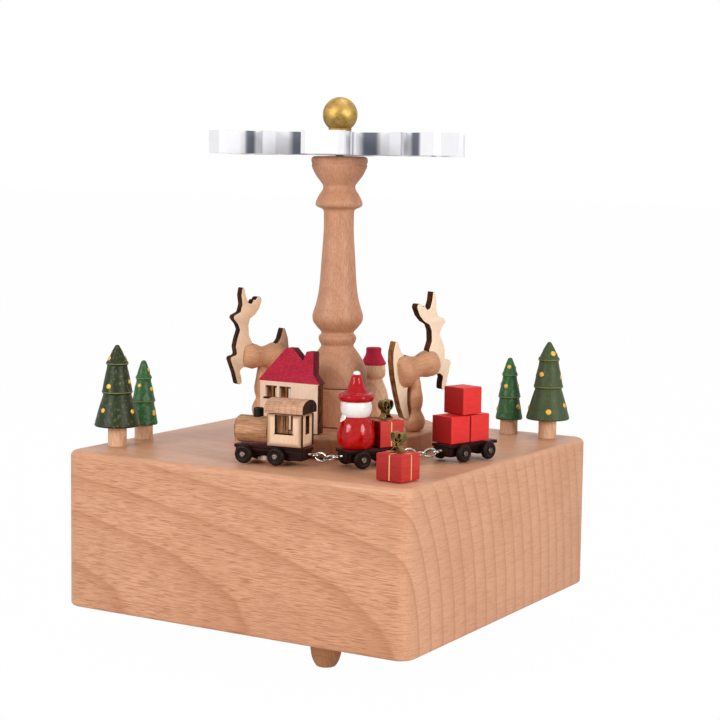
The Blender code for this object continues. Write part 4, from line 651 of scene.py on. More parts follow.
# Box
def square_ring(half, radius, steps=10):
    """A square outline with round corners."""
    ring = []
    for cx, cy, start in ((1, 1, 0), (-1, 1, 90), (-1, -1, 180), (1, -1, 270)):
        for step in range(steps + 1):
            angle = math.radians(start + 90 * step / steps)
            ring.append((cx * (half - radius) + radius * math.cos(angle),
                         cy * (half - radius) + radius * math.sin(angle)))
    return ring


def loft(levels):
    """A closed skin over outlines at rising or falling heights."""
    bm = bmesh.new()
    rings = [[bm.verts.new((x, y, z)) for x, y in ring] for ring, z in levels]
    for a, b in zip(rings, rings[1:]):
        for k in range(len(a)):
            n = (k + 1) % len(a)
            bm.faces.new((a[k], a[n], b[n], b[k]))
    bm.faces.new(rings[0])
    bm.faces.new(rings[-1])
    return closed(bm)


# Half widths outside, inside the walls and in the bottom plate's rebate, then the heights of the two steps
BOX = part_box("base_block")[1][0]
CAVITY = 0.0512
REBATE = 0.0562
CEILING = 0.053
REBATE_TOP = 0.0168
CORNER = 0.0047
EDGE = 0.0016
LOW_EDGE = 0.0011
INNER_CORNER = 0.0012
levels = []
for half, z in ((CAVITY, CEILING), (CAVITY, REBATE_TOP), (REBATE, REBATE_TOP), (REBATE, BOX_FLOOR)):
    levels.append((square_ring(half, INNER_CORNER), z))
for step in range(5):
    angle = math.radians(90 * step / 4)
    inset = LOW_EDGE * (1 - math.sin(angle))
    levels.append((square_ring(BOX - inset, CORNER - inset * 0.5),
                   BOX_FLOOR + LOW_EDGE * (1 - math.cos(angle))))
for step in range(7):
    angle = math.radians(90 * step / 6)
    inset = EDGE * (1 - math.cos(angle))
    levels.append((square_ring(BOX - inset, CORNER - inset * 0.5), LID - EDGE * (1 - math.sin(angle))))
add("box_block", loft(levels), "beech", "box", at(0, 0, 0), box_wood, node="base_block", smooth=30)

FOOT = [(0, 13.2), (4.9, 13.2), (4.92, 10), (4.8, 6.6), (4.5, 4), (4, 2.2), (3.3, 0.8), (2.6, 0.1), (0, 0)]
for number in (1, 2, 3):
    x, y = middle_of(f"foot_peg_{number}")
    add(f"foot_turned_{number}", lathe(mm(FOOT), 48, 4, 60), "beech", "box", at(x, y, 0.0), post_wood,
        node=f"foot_peg_{number}")

# Stage, pedestal, column
profile = [(0, 0), (31.4, 0), (31.9, 0.4), (32, 1), (32, 4.8), (31.8, 5.5), (31.3, 5.8), (0, 5.8)]
add("stage_turned", lathe(mm(profile), 128, 4, 50), "beech", "box", at(0, 0, LID + GAP), disc_wood,
    node="stage_disc")
profile = [(0, 0), (10, 0), (10.2, 0.3), (10.2, 11.3), (10, 11.7), (0, 11.7)]
add("pedestal_turned", lathe(mm(profile), 96, 3, 50), "beech", "box", at(0, 0, STAND), column_wood,
    node="pedestal")
COLUMN = ((0, 71.5), (7.4, 71.5), (8.4, 71.2), (8.75, 70.6), (8.7, 69.7), (8.5, 69), (8.65, 68.6),
          (8.1, 67.2), (7.2, 65.5), (5.2, 62.8), (5, 62.2), (5.2, 61.2), (6.1, 59.8), (7.1, 57.8),
          (7.3, 56.8), (6.9, 56), (5.2, 55.2), (4.75, 54.5), (4.7, 53), (4.7, 48.6), (5.3, 39.3),
          (5.8, 31.8), (6.5, 27.1), (7.4, 24), (7.9, 22.2), (7.7, 20.3), (6.4, 18.4), (5.2, 17.1),
          (5.1, 16.5), (5.8, 15.6), (5.9, 14.8), (5.6, 13.8), (5.1, 12.9), (5.2, 12.3), (6.8, 10.1),
          (8.1, 8), (9, 5.2), (9.3, 1), (9.2, 0), (0, 0))
add("column_turned", lathe(mm(COLUMN), 96, 4, 50), "beech", "box", at(0, 0, COLUMN_FOOT), column_wood,
    node="column")

# Snowflake and ball
rotor = repaint("rotor", snow_white_gap_shade)
soft = rotor.modifiers.new("soft", "BEVEL")
soft.width = 0.00035
soft.segments = 2
soft.limit_method = "ANGLE"
soft.angle_limit = math.radians(40)
BALL = 0.0054
BALL_MIDDLE = 0.00531
ball = [(0.0, BALL_MIDDLE + BALL)]
for step in range(1, 24):
    angle = math.radians(140 * step / 23)
    ball.append((BALL * math.sin(angle), BALL_MIDDLE + BALL * math.cos(angle)))
ball += [(0.0036, 0.0010), (0.0035, 0.0), (0.0, 0.0)]
add("gold_ball", lathe(ball, 64, 2, 30), "gold_paint", "rotor", at(0, 0, ROTOR_TOP + GAP), matt_gold,
    node="rotor_ball")

# House
HOUSE = [(-12.9, 0.0), (8.0, 0.0), (8.0, 14.8), (8.6, 15.1), (6.3, 17.9), (6.3, 24.8), (3.8, 24.8),
         (2.6, 21.9), (-1.0, 25.5), (-3.4, 25.5), (-13.5, 15.1), (-12.9, 14.8)]
ROOF = [(-13.5, 15.1)] + HOUSE[3:10]
HOUSE_FRONT = -0.0241
HOUSE_PLACE = at(0, HOUSE_FRONT + PLY / 2, STAND)
WINDOWS = (-0.0088, -0.0038)
WINDOW_FOOT = STAND + 0.0097
WINDOW_MIDDLE = WINDOW_FOOT + 0.0020
house = upright(rounded(mm(HOUSE), 0.0002, 2), PLY)
wall = add("house_wall", house, "ply", "box", HOUSE_PLACE, ply_face, wall_edge, node="house", smooth=30)
by_side(house, 1, 0, 1)
openings = [at(middle, -0.0225, WINDOW_MIDDLE) for middle in WINDOWS]
cut(wall, *[tool_block((0.0042, 0.02, 0.0040), opening, char_warm) for opening in openings])
# The painted roof stands a little proud of the wall on every side
roof = upright(rounded(mm(ROOF), 0.0002, 2), PLY + 0.00016, 0.00006)
ROOF_MIDDLE = at(-0.00245, 0, 0.0203)
roof.transform(ROOF_MIDDLE @ Matrix.Diagonal((1.008, 1.0, 1.008, 1.0)) @ ROOF_MIDDLE.inverted())
add("house_roof", roof, "red_paint", "box", HOUSE_PLACE, crimson, maroon, smooth=30)
by_side(roof, 1, 0, 1)
# Name, size, place (x from the window's middle, y, z from its foot), turn, slot and look
WINDOW_PARTS = (
    ("sill", (0.0049, 0.0012, 0.0005), (-0.0001, -0.0240, 0.0002), 0, "dark_wood", char),
    ("mullion", (0.0007, 0.0010, 0.0040), (0.0002, -0.0232, 0.0020), 0, "ply", char_warm),
    ("shutter", (0.0013, 0.0004, 0.0038), (-0.0012, -0.0229, 0.0020), -25, "dark_wood", char_warm),
    ("pane", (0.0012, 0.0004, 0.0034), (0.0013, -0.0226, 0.0020), 20, "ply", ply_pale),
    ("rail", (0.0042, 0.0006, 0.0004), (0.0, -0.0233, 0.0036), 0, "ply", char_warm))
for index, middle in enumerate(WINDOWS):
    for name, size, (x, y, z), turn, slot, look in WINDOW_PARTS:
        edge = 0.0001 if name in ("sill", "mullion") else 0.00008
        place = at(middle + x, y, WINDOW_FOOT + z, turn)
        add(f"house_{name}_{index}", slab(size, edge), slot, "box", place, look)

# Reindeer
POST = [(0, 16.3), (1.5, 16.3), (1.8, 15.2), (2.2, 12.6), (2.6, 10.4), (2.65, 9), (2.5, 7.7), (2.2, 6.6),
        (2.25, 5.9), (2.8, 4.8), (3.3, 3.6), (3.4, 2.5), (3.2, 1.3), (2.8, 0.5), (2.3, 0), (0, 0)]
BODY = [(0, 7.8), (2.5, 7.8), (3.4, 7.3), (4, 6.3), (4.2, 4.9), (3.9, 3.1), (3.4, 1.4), (3.4, 0.4),
        (3.8, -1), (4.7, -2.8), (5.2, -4.3), (5, -5.7), (4.3, -6.6), (3.2, -7), (0, -7)]
FRONT = [(4.7, 16.4), (8.0, 16.5), (9.2, 15.4), (8.6, 13.5), (8.3, 11.4), (9.8, 11.0), (10.8, 14.8),
         (12.5, 19.3), (12.2, 20.0), (10.1, 20.6), (10.6, 23.2), (10.1, 25.5), (9.1, 28.5), (9.8, 30.3),
         (11.5, 32.2), (11.2, 33.1), (9.0, 34.1), (8.3, 36.5), (8.7, 39.5), (8.3, 41.8), (7.7, 41.9),
         (7.1, 39.3), (6.1, 36.9), (5.0, 36.6), (4.2, 38.1), (3.7, 37.7), (3.0, 38.8), (1.8, 38.9),
         (1.4, 37.8), (2.2, 35.2), (3.7, 33.2), (5.5, 32.0), (6.1, 30.0), (5.9, 26.8), (4.7, 24.3)]
REAR = [(-4.1, 23.2), (-5.5, 25.0), (-6.5, 28.4), (-7.2, 28.5), (-8.3, 25.5), (-8.7, 22.2), (-8.6, 18.0),
        (-8.0, 13.0), (-7.2, 8.0), (-6.2, 4.6), (-4.5, 4.0), (-4.3, 5.0), (-4.7, 9.0), (-4.4, 12.5),
        (-4.1, 15.0)]
# Height of the body's axis over the stage
AXIS = 0.0194
for side, angle, heading, pitch in (("left", 183.0, 242.6, 0.0), ("right", 3.0, 62.6, 6.0)):
    x, y = spot(0.0271, angle)
    holder = at(x, y, STAND, heading)
    pitched = holder @ at(0, 0, AXIS) @ tilt(-pitch, "Y")
    add(f"deer_{side}_post_turned", lathe(mm(POST), 48, 5, 50), "beech", "box", holder, post_wood,
        node=f"deer_{side}_post")
    body = lathe(mm(BODY), 64, 5, 50)
    body.transform(tilt(90, "Y"))
    body = add(f"deer_{side}_barrel", body, "beech", "box", pitched @ tilt(-6, "Y"), body_wood,
               node=f"deer_{side}_body")
    slots = [pitched @ at(x, 0, 0) for x in (0.0142, -0.0136)]
    cut(body, *[tool_block((0.02, PLY + GAP, 0.04), slot, body_wood) for slot in slots])
    for part, outline in (("front", FRONT), ("rear", REAR)):
        flat = upright(rounded([(a, b - AXIS) for a, b in mm(outline)], 0.0008, 5), PLY, 0.0001)
        # The left deer's sheets take the darker ply, as painted shade
        face = ply_pale_shaded if side == "left" else ply_pale
        edge = char if side == "left" or part == "front" else char_warm
        add(f"deer_{side}_{part}_sheet", flat, "ply", "box", pitched, face, edge, node=f"deer_{side}_{part}",
            smooth=40)
        by_side(flat, 1, 0, 1)

# Small figure behind the column
PEG_CAP = [(0, 22.2), (2.2, 22.2), (2.5, 21.9), (2.5, 20.4), (3.3, 18.6), (4, 17.3), (4.1, 16.9),
           (3.6, 16.6), (0, 16.6)]
PEG_BODY = [(0, 16.6), (3.6, 16.6), (3.9, 14.8), (3.8, 13.1), (3, 12.1), (2.9, 11.9), (3.4, 10.8), (4.5, 8),
            (5.1, 4.5), (5.2, 1), (5, 0), (0, 0)]
PEG_PLACE = at(0, 0.0228, STAND)
add("peg_cap", lathe(mm(PEG_CAP), 48, 4, 45), "red_paint", "box", PEG_PLACE, crimson, node="peg_figure")
add("peg_body", lathe(mm(PEG_BODY), 48, 5, 45), "beech", "box", PEG_PLACE, trunk_wood)


# Trees
def surface(profile, z):
    """Radius and lean of a turned profile at a height."""
    for (r1, z1), (r2, z2) in zip(profile, profile[1:]):
        if z2 <= z <= z1 and z1 - z2 > 1e-6:
            t = (z1 - z) / (z1 - z2)
            return r1 + (r2 - r1) * t, math.atan2(r2 - r1, z1 - z2)
    return profile[1][0], 0.0


def tree(name, height, tiers, paint_main, dots, seed):
    """Tiers are (rim radius, base height), dots (degrees from the camera's side, height, size)."""
    x, y = middle_of(name)
    profile = [(0.0, height), (0.0005, height - 0.0001), (0.0009, height - 0.0007)]
    last = (0.0009, height - 0.0007)
    for index, (rim, base) in enumerate(tiers):
        drop = last[1] - base
        profile.append((last[0] + (rim - last[0]) * 0.42, last[1] - drop * 0.36))
        profile.append((last[0] + (rim - last[0]) * 0.78, last[1] - drop * 0.72))
        profile.append((rim * 0.985, base + 0.0009))
        profile.append((rim, base + 0.0004))
        profile.append((rim * 0.97, base))
        inner = (rim * 0.91, base - 0.0003) if index + 1 < len(tiers) else (0.0, base)
        profile.append(inner)
        last = inner
    add(name + "_tiers", lathe(profile, 56, 3, 55, 0.00004, seed), "green_paint", "box", at(x, y, LID),
        paint_main, node=name)
    stem = [(0.0, tiers[-1][1] + 0.0002), (0.0029, tiers[-1][1] + 0.0002), (0.0029, 0.0008),
            (0.00298, 0.0001), (0.0029, 0.0), (0.0, 0.0)]
    add(name + "_trunk", lathe(stem, 40, 2, 50), "beech", "box", at(x, y, LID), trunk_wood)
    for index, (rim, base) in enumerate(tiers[:-1]):
        line = ellipse(rim * 1.002, rim * 1.002, base + 0.0004, 48)
        add(f"{name}_line_{index}", wire(line, 0.00013, 6), "green_paint", "box", at(x, y, LID), lime)
    for index, (angle, z, size) in enumerate(dots):
        radius, slope = surface(profile, z)
        mesh = lathe([(0.0, 0.00028), (size * 0.45, 0.00024), (size * 0.85, 0.00012), (size, -0.0001),
                      (0.0, -0.0002)], 18, 3, 70)
        heading = -90.0 - VIEW_YAW + angle
        turn = tilt(heading, "Z") @ Matrix.Rotation(math.pi / 2 - slope, 4, "Y")
        px, py = spot(radius, heading)
        add(f"{name}_dot_{index}", mesh, "green_paint", "box", at(x + px, y + py, LID + z) @ turn, dot_yellow)


# Rim radius and base height of each tier
BIG = ((3.4, 25.2), (4.7, 16.4), (7, 6.2))
SMALL = ((2.5, 19), (3.6, 11.8), (4.4, 4.7))
# Dots that the photograph doesn't show
FAR_DOT = 0.00078
AROUND = [(110, 27.2), (200, 27.6), (70, 20.0), (160, 19.4), (250, 20.4), (60, 11.0), (135, 9.4),
          (195, 12.5), (265, 10.0)]


def scattered(front, scale, seed):
    """The dots that the photograph shows, in millimetres, and others all round at heights to scale."""
    rand = random.Random(seed)
    dots = [(angle, z * 0.001, size * 0.001) for angle, z, size in front]
    size = FAR_DOT * (0.9 if scale < 1 else 1)
    return dots + [(angle + rand.uniform(-8, 8), z * scale * 0.001, size) for angle, z in AROUND]


tree("tree_big_left", 0.0313, mm(BIG), dark_green,
     scattered([(-62, 27.2, 0.80), (-30, 18.8, 0.85), (-42, 11.4, 0.80)], 1.0, 1), 1)
tree("tree_small_left", 0.0250, mm(SMALL), leaf_green,
     scattered([(75, 22.0, 0.66), (-25, 17.2, 0.66), (62, 8.2, 0.70)], 0.80, 2), 2)
tree("tree_small_back", 0.0250, mm(SMALL), leaf_green,
     scattered([(-15, 22.1, 0.70), (-30, 15.8, 0.75), (46, 9.2, 0.75)], 0.80, 3), 3)
tree("tree_big_back", 0.0313, mm(BIG), back_green,
     scattered([(28, 27.7, 0.90), (-42, 21.0, 0.85), (-4, 9.2, 0.95)], 1.0, 4), 4)


# Presents
def present(name, body, node, width, seat, bow_turn, shade_axis=1, shaded_paper=paper_shaded):
    """A wrapped block with ribbons and a bent bow. The faces along the given axis take the darker paper, as
    painted shade.
    """
    height = 0.0076
    paper = slab((width, width, height), 0.00028)
    by_side(paper, shade_axis, 1, 0)
    add(name + "_paper", paper, "red_paint", body, seat @ at(0, 0, height / 2), paper_red, shaded_paper,
        node=node)
    ribbon, proud, off = 0.00034, 0.00012, 0.0002
    strips = [((proud, ribbon, height - 0.0005), (side * width / 2, off, height / 2)) for side in (-1, 1)]
    strips.append(((width - 0.0005, ribbon, proud), (0.0, off, height)))
    # The same three again, crosswise
    strips += [((b, a, c), (y, x, z)) for (a, b, c), (x, y, z) in strips]
    for index, (size, centre) in enumerate(strips):
        add(f"{name}_ribbon_{index}", slab(size, 0.00004, 1), "gold_paint", body, seat @ at(*centre),
            ribbon_gold)
    top = seat @ at(0, 0, height + GAP)
    left = [(-0.25, 2.2), (-0.9, 2.6), (-1.75, 3.3), (-1.95, 4.3), (-1.6, 5.2), (-0.9, 5.45), (-0.35, 5.0),
            (-0.3, 4.2), (-0.7, 3.5), (-0.3, 2.5)]
    right = [(-a, b * 0.96 + 0.05) for a, b in left]
    foot_left = [(-1.85, 0.1), (-1.55, 0.45), (-1.0, 0.9), (-0.55, 1.6), (-0.2, 2.3)]
    foot_right = [(-a, b) for a, b in foot_left]
    base = [(-1.9, 0.12), (-1.0, 0.2), (0.0, 0.16), (1.0, 0.2), (1.9, 0.12)]
    waist = [(-0.62, 2.0), (-0.5, 2.6), (0.0, 2.8), (0.5, 2.6), (0.62, 2.0), (0.4, 1.5), (-0.4, 1.5),
             (-0.62, 2.0)]
    curls = ((left, 2.5), (right, 2.3), (foot_left, 2.4), (foot_right, 2.2), (base, 2.4), (waist, 2.56))
    for index, (path, wide) in enumerate(curls):
        points = eased(mm(path), 5, 80)
        curl = add(f"{name}_curl_{index}", band(points, wide * 0.001, 0.00028), "antique_brass", body,
                   top @ tilt(bow_turn, "Z"), antique, node=node + "_bow" if index == 0 else None, smooth=50)
        edge = curl.modifiers.new("edge", "BEVEL")
        edge.width = 0.00008
        edge.segments = 2
        edge.limit_method = "ANGLE"
    inner = eased(mm([(a * 0.55, b * 0.8 + 0.9) for a, b in left]), 5, 80)
    add(name + "_inner_curl", band(inner, 0.0019, 0.00026), "antique_brass", body,
        top @ tilt(bow_turn + 70, "Z"), antique, smooth=50)


present("gift_front", "box", "gift_front", 0.0088, at(0.0496, -0.0483, LID + GAP, -7.0), 4)


# Train
def vehicle(radius, angle, yaw):
    """A place on the train's circle, turned by yaw from the circle's own direction."""
    x, y = spot(radius, angle)
    return at(x, y, LID, angle - 90.0 + yaw)


LOCO = vehicle(0.0446, -82.8, 0.0)
WAGON_1 = vehicle(0.0447, -45.9, 16.0)
WAGON_2 = vehicle(0.0482, -5.7, -11.0)
LOCO_LENGTH = 0.0230
WAGON_1_LENGTH = 0.0190
WAGON_2_LENGTH = 0.0204
BEAM_FOOT = 0.0018
DECK = 0.0056
LOAD = DECK + GAP
WHEEL = 0.00265
AXLE = GAP + WHEEL


def wheels(node, body, holder, reach, between):
    """Two turned wheels with the heads of their pins, on one axle."""
    inner = between / 2 + 0.0002
    outer = inner + 0.0017
    for side in (-1, 1):
        disc = [(0.0, inner), (0.0019, inner), (0.0021, inner + 0.0001), (0.0025, inner + 0.00005),
                (WHEEL, inner + 0.0003), (WHEEL, outer - 0.0006), (WHEEL - 0.00016, outer - 0.00022),
                (0.0022, outer - 0.00003), (0.0018, outer), (0.0016, outer - 0.00018),
                (0.0012, outer - 0.00022), (0.0, outer - 0.00022)]
        mesh = lathe([(r, a * side) for r, a in disc], 44, 4, 50, 0.00002, 7)
        mesh.transform(tilt(-90, "X"))
        tag = "near" if side < 0 else "far"
        place = holder @ at(reach, 0, AXLE)
        add(f"{node}_{tag}", mesh, "dark_wood", body, place, wheel_stain, node=node if side < 0 else None)
        pin = [(0.0, outer - 0.0006), (0.00080, outer - 0.0006), (0.00084, outer + 0.00003),
               (0.00074, outer + 0.00018), (0.00050, outer + 0.00022), (0.0, outer + 0.00019)]
        pin = lathe([(r, a * side) for r, a in pin], 28, 4, 50)
        pin.transform(tilt(-90, "X"))
        add(f"{node}_pin_{tag}", pin, "steel", body, place, pin_steel)
    axle = lathe([(0.0, -inner), (0.0006, -inner), (0.0006, inner), (0.0, inner)], 20, 2, 50)
    axle.transform(tilt(-90, "X"))
    add(node + "_axle", axle, "steel", body, holder @ at(reach, 0, AXLE), pin_steel)


def undercarriage(body, holder, length, width, axles):
    """A stained deck on a beam with room for the axles, and a buffer at each end."""
    name = body + "_chassis"
    deck = slab((length, width, 0.0010), 0.00022)
    add(name + "_deck", deck, "dark_wood", body, holder @ at(0, 0, DECK - 0.0005), dark_stain, deck_red,
        node=name)
    for polygon in deck.polygons:
        polygon.material_index = 1 if polygon.normal.z > 0.8 else 0
    size = (length - 0.002, 0.0060, DECK - 0.0009 - BEAM_FOOT)
    beam = add(name + "_frame", slab(size, 0.0003), "dark_wood", body,
               holder @ at(0, 0, BEAM_FOOT + size[2] / 2), dark_stain)
    bores = [tool_block((0.0017, 0.02, 0.0017), holder @ at(reach, 0, AXLE), dark_stain) for reach in axles]
    bores.append(tool_block((abs(axles[0] - axles[1]) - 0.0046, 0.02, 0.0011),
                            holder @ at(sum(axles) / 2, 0, 0.0021), dark_stain))
    cut(beam, *bores)
    for side in (-1, 1):
        add(f"{name}_buffer_{side}", slab((0.0009, 0.0052, 0.0024), 0.0002, 2), "dark_wood", body,
            holder @ at(side * (length / 2 - 0.0007), 0, 0.0037), dark_stain)


# Body, place, length and width of the deck, axles along it, width between the wheels
VEHICLES = (("loco", LOCO, LOCO_LENGTH, 0.0060, (0.0076, -0.0029), 0.0070),
            ("wagon_1", WAGON_1, WAGON_1_LENGTH, 0.0076, (0.0052, -0.0056), 0.0076),
            ("wagon_2", WAGON_2, WAGON_2_LENGTH, 0.0076, (0.0054, -0.0052), 0.0076))
for body, holder, length, width, axles, between in VEHICLES:
    undercarriage(body, holder, length, width, axles)
for body, holder, length, width, axles, between in VEHICLES:
    for number, end, reach in zip((1, 2), ("front", "rear"), axles):
        wheels(f"{body}_wheels_{number}", f"{body}_{end}_wheels", holder, reach, between)

# Boiler, cab and roof
BOILER_AXIS = LOAD + 0.0040
BOILER = [(0, 0), (4, 0), (4, 10.1), (3.95, 10.4), (3.7, 10.7), (3.5, 10.7), (3.4, 10.6), (0, 10.6)]
boiler = lathe(mm(BOILER), 72, 4, 50)
boiler.transform(tilt(90, "Y"))
add("boiler_turned", boiler, "beech", "loco", LOCO @ at(0.0005, 0, BOILER_AXIS), boiler_wood, char_warm,
    node="loco_boiler")
for polygon in boiler.polygons:
    polygon.material_index = 1 if polygon.center.x > 0.0103 else 0
CHIMNEY = [(0, -0.8), (1.5, -0.8), (1.5, 2), (1.45, 2.3), (1.2, 2.4), (1, 2.3), (0.9, 1.6), (0, 1.6)]
add("chimney_turned", lathe(mm(CHIMNEY), 32, 3, 50), "black_paint", "loco",
    LOCO @ at(0.0050, 0, BOILER_AXIS + 0.0040), black, node="loco_chimney")


def in_cab(x, y, z):
    """A place counted from the middle of the cab's floor."""
    return LOCO @ at(-0.0053 + x, y, LOAD + z)


cab = add("cab_walls", slab((0.0110, 0.0084, 0.0094), 0.0001, 1), "ply", "loco", in_cab(0, 0, 0.0047),
          cab_ply, char, node="loco_cab")
# The faces inside the hollowed cab take painted shade
cut(cab, tool_block((0.0082, 0.0056, 0.0094), in_cab(0, 0, 0.0061), cab_inside_shade),
    tool_block((0.0058, 0.0140, 0.0054), in_cab(0.0001, 0, 0.0065), char),
    tool_block((0.0110, 0.0026, 0.0054), in_cab(-0.0055, 0, 0.0063), char))
for side in (-1, 1):
    for index, x in enumerate((-0.00065, 0.0010)):
        add(f"cab_bar_{side}_{index}", slab((0.0006, 0.0006, 0.0054), 0.00008, 2), "ply", "loco",
            in_cab(x, side * 0.0033, 0.0065), char_warm)
    add(f"cab_sill_{side}", slab((0.0062, 0.0003, 0.00028), 0.00006, 1), "dark_wood", "loco",
        in_cab(0.0001, side * 0.00422, 0.0037), char)
    for tag, end in (("corner", -1), ("front_corner", 1)):
        add(f"cab_{tag}_{side}", slab((0.00016, 0.0011, 0.0093), 0.00005, 1), "dark_wood", "loco",
            in_cab(end * 0.00549, side * 0.0036, 0.0047), char)
ROOF_HALF = 0.0049
ROOF_EAVE = 0.0014
ROOF_RISE = 0.0026
arch = [(ROOF_HALF, 0.0), (ROOF_HALF, ROOF_EAVE)]
for step in range(1, 16):
    angle = math.pi * step / 16
    arch.append((ROOF_HALF * math.cos(angle), ROOF_EAVE + ROOF_RISE * math.sin(angle)))
arch += [(-ROOF_HALF, ROOF_EAVE), (-ROOF_HALF, 0.0)]
roof = sheet(rounded(arch, 0.0003, 3, 30), 0.0124, 0.00018)
roof.transform(tilt(90, "Z") @ tilt(90, "X"))
add("cab_roof", roof, "beech", "loco", in_cab(0, 0, 0.0097), roof_wood, roof_end, node="loco_roof", smooth=30)
by_side(roof, 0, 1, 0, 0.5)

# Figure on the first wagon
FIGURE = WAGON_1 @ at(0.0048, 0, LOAD)
COAT = [(0, 9.4), (3.4, 9.4), (3.7, 9.1), (4.5, 8), (5.1, 6.5), (5.5, 4.5), (5.5, 3), (5.2, 1.4), (4.6, 0.4),
        (4.1, 0), (0, 0)]
HEAD = [(0, 13.7), (4.1, 13.7), (4.5, 12.8), (4.6, 11.6), (4.3, 10.2), (3.8, 9.3), (3.4, 9), (0, 9)]
HAT = [(0, 21.4), (1, 21.3), (1.5, 20.7), (1.8, 19.6), (2.3, 18.2), (3.1, 16.8), (3.8, 16), (4.6, 15.8),
       (5, 15.4), (5.2, 14.8), (5, 14.1), (4.5, 13.6), (0, 13.6)]
HAT_TIP = [(0, 22.3), (0.6, 22.2), (1, 21.8), (1.05, 21.3), (1, 20.9), (0, 20.9)]
for name, profile, slot, look, node in (
        ("figure_coat", COAT, "red_paint", gloss_red, "wagon_figure"),
        ("figure_head", HEAD, "white_paint", white_gloss, None),
        ("figure_hat", HAT, "red_paint", hat_red, None)):
    add(name, lathe(mm(profile), 72, 6, 60), slot, "wagon_1", FIGURE, look, node=node)
add("figure_hat_tip", lathe(mm(HAT_TIP), 32, 5, 60), "white_paint", "wagon_1", FIGURE, white_gloss)
GAZE = FIGURE @ tilt(-20, "Z")
face = lathe(mm([(0, 0.4), (0.8, 0.32), (1.35, 0.1), (1.5, -0.2), (0, -0.3)]), 28, 4, 70)
add("figure_face", face, "white_paint", "wagon_1", GAZE @ at(0.0043, 0, 0.0122) @ tilt(90, "Y"), skin)
for side in (-1, 1):
    eye = lathe(mm([(0, 0.16), (0.16, 0.1), (0.2, -0.1), (0, -0.1)]), 14, 3, 70)
    add(f"figure_eye_{side}", eye, "black_paint", "wagon_1",
        GAZE @ at(0.00462, side * 0.0005, 0.0125) @ tilt(90, "Y"), black)
beard = lathe(mm([(0, 0.7), (1, 0.6), (1.8, 0.3), (2.2, -0.2), (0, -0.6)]), 36, 4, 70)
beard.transform(Matrix.Diagonal((1.45, 1.0, 1.0, 1.0)))
add("figure_beard", beard, "white_paint", "wagon_1", GAZE @ at(0.0035, 0, 0.0092) @ tilt(68, "Y"),
    white_gloss)
# The gift's faces along x take the darkest paper, as painted shade
present("wagon_gift", "wagon_1", "wagon_gift", 0.0080, WAGON_1 @ at(-0.0050, 0, LOAD), 12, 0, paper_deep_shade)
BLOCK = 0.0080
for number, reach, layer in ((1, 0.0060, 0), (2, -0.0023, 0), (3, 0.0012, 1)):
    block = slab((BLOCK, BLOCK, BLOCK), 0.00028)
    # The faces along x take the darker red, as painted shade
    by_side(block, 0, 1, 0)
    add(f"block_{number}", block, "red_paint", "wagon_2",
        WAGON_2 @ at(reach, 0, LOAD + layer * (BLOCK + GAP) + BLOCK / 2), satin_red, satin_shaded,
        node=f"wagon_block_{number}")


# Chains
WIRE = 0.00033
EYE = 0.0010
EYE_HEIGHT = 0.0036


def chain(name, body, ahead, ahead_length, behind, behind_length, links, sag):
    """Two screw eyes and the links that hang between them."""
    def end(holder, reach):
        return holder @ Vector((reach, 0, EYE_HEIGHT))

    faces = (end(ahead, -ahead_length / 2 - GAP), end(behind, behind_length / 2 + GAP))
    eyes = (end(ahead, -ahead_length / 2 - 0.0020), end(behind, behind_length / 2 + 0.0020))
    run = (eyes[1] - eyes[0]).normalized()
    start = eyes[0] + run * (EYE - 2 * WIRE)
    stop = eyes[1] - run * (EYE - 2 * WIRE)
    loops = [(eye, eye - face, EYE, EYE, 0.0) for eye, face in zip(eyes, faces)]
    joints = []
    for index in range(links + 1):
        t = index / links
        joints.append(start.lerp(stop, t) - Vector((0, 0, sag * 4 * t * (1 - t))))
    for index, (a, b) in enumerate(zip(joints, joints[1:])):
        loops.append(((a + b) / 2, b - a, (b - a).length / 2 + WIRE, 0.00115, (63.0, -31.0)[index % 2]))
    for index, (middle, direction, long, wide, roll) in enumerate(loops):
        mesh = wire(ellipse(long, wide, 0.0, 40), WIRE, 16)
        turn = direction.to_track_quat("X", "Z").to_matrix().to_4x4() @ tilt(roll, "X")
        add(f"{name}_ring_{index}", mesh, "nickel", body, Matrix.Translation(middle) @ turn, nickel,
            node=name if index == 0 else None, smooth=60)
    for index, (face, eye) in enumerate(zip(faces, eyes)):
        reach = (eye - face).length - EYE + 0.0002
        shank = [(0.0, -0.0008), (0.0003, -0.0008)]
        for k in range(9):
            shank += [(0.00036, -0.0007 + k * 0.00018), (0.00026, -0.0007 + k * 0.00018 + 0.00009)]
        shank += [(0.0003, reach), (0.0, reach)]
        add(f"{name}_shank_{index}", lathe(shank, 20, 1, 10), "nickel", body,
            Matrix.Translation(face) @ (eye - face).to_track_quat("Z", "Y").to_matrix().to_4x4(), nickel,
            smooth=60)


chain("chain_1", "loco", LOCO, LOCO_LENGTH, WAGON_1, WAGON_1_LENGTH, 2, 0.0009)
chain("chain_2", "wagon_1", WAGON_1, WAGON_1_LENGTH, WAGON_2, WAGON_2_LENGTH, 3, 0.0008)

# What stays as built
KEPT = {"bottom_plate": plate_wood, "plate_screw_1": steel, "plate_screw_2": steel, "bedplate": brass,
        "comb": steel, "spring_barrel": brass, "winding_key": brass, "pin_cylinder": brass,
        "governor_fan": steel, "magnet_arm": brass, "drive_magnet": nickel, "rotor_shaft": steel,
        "loco_magnet": nickel}
for node, material in KEPT.items():
    repaint(node, material)


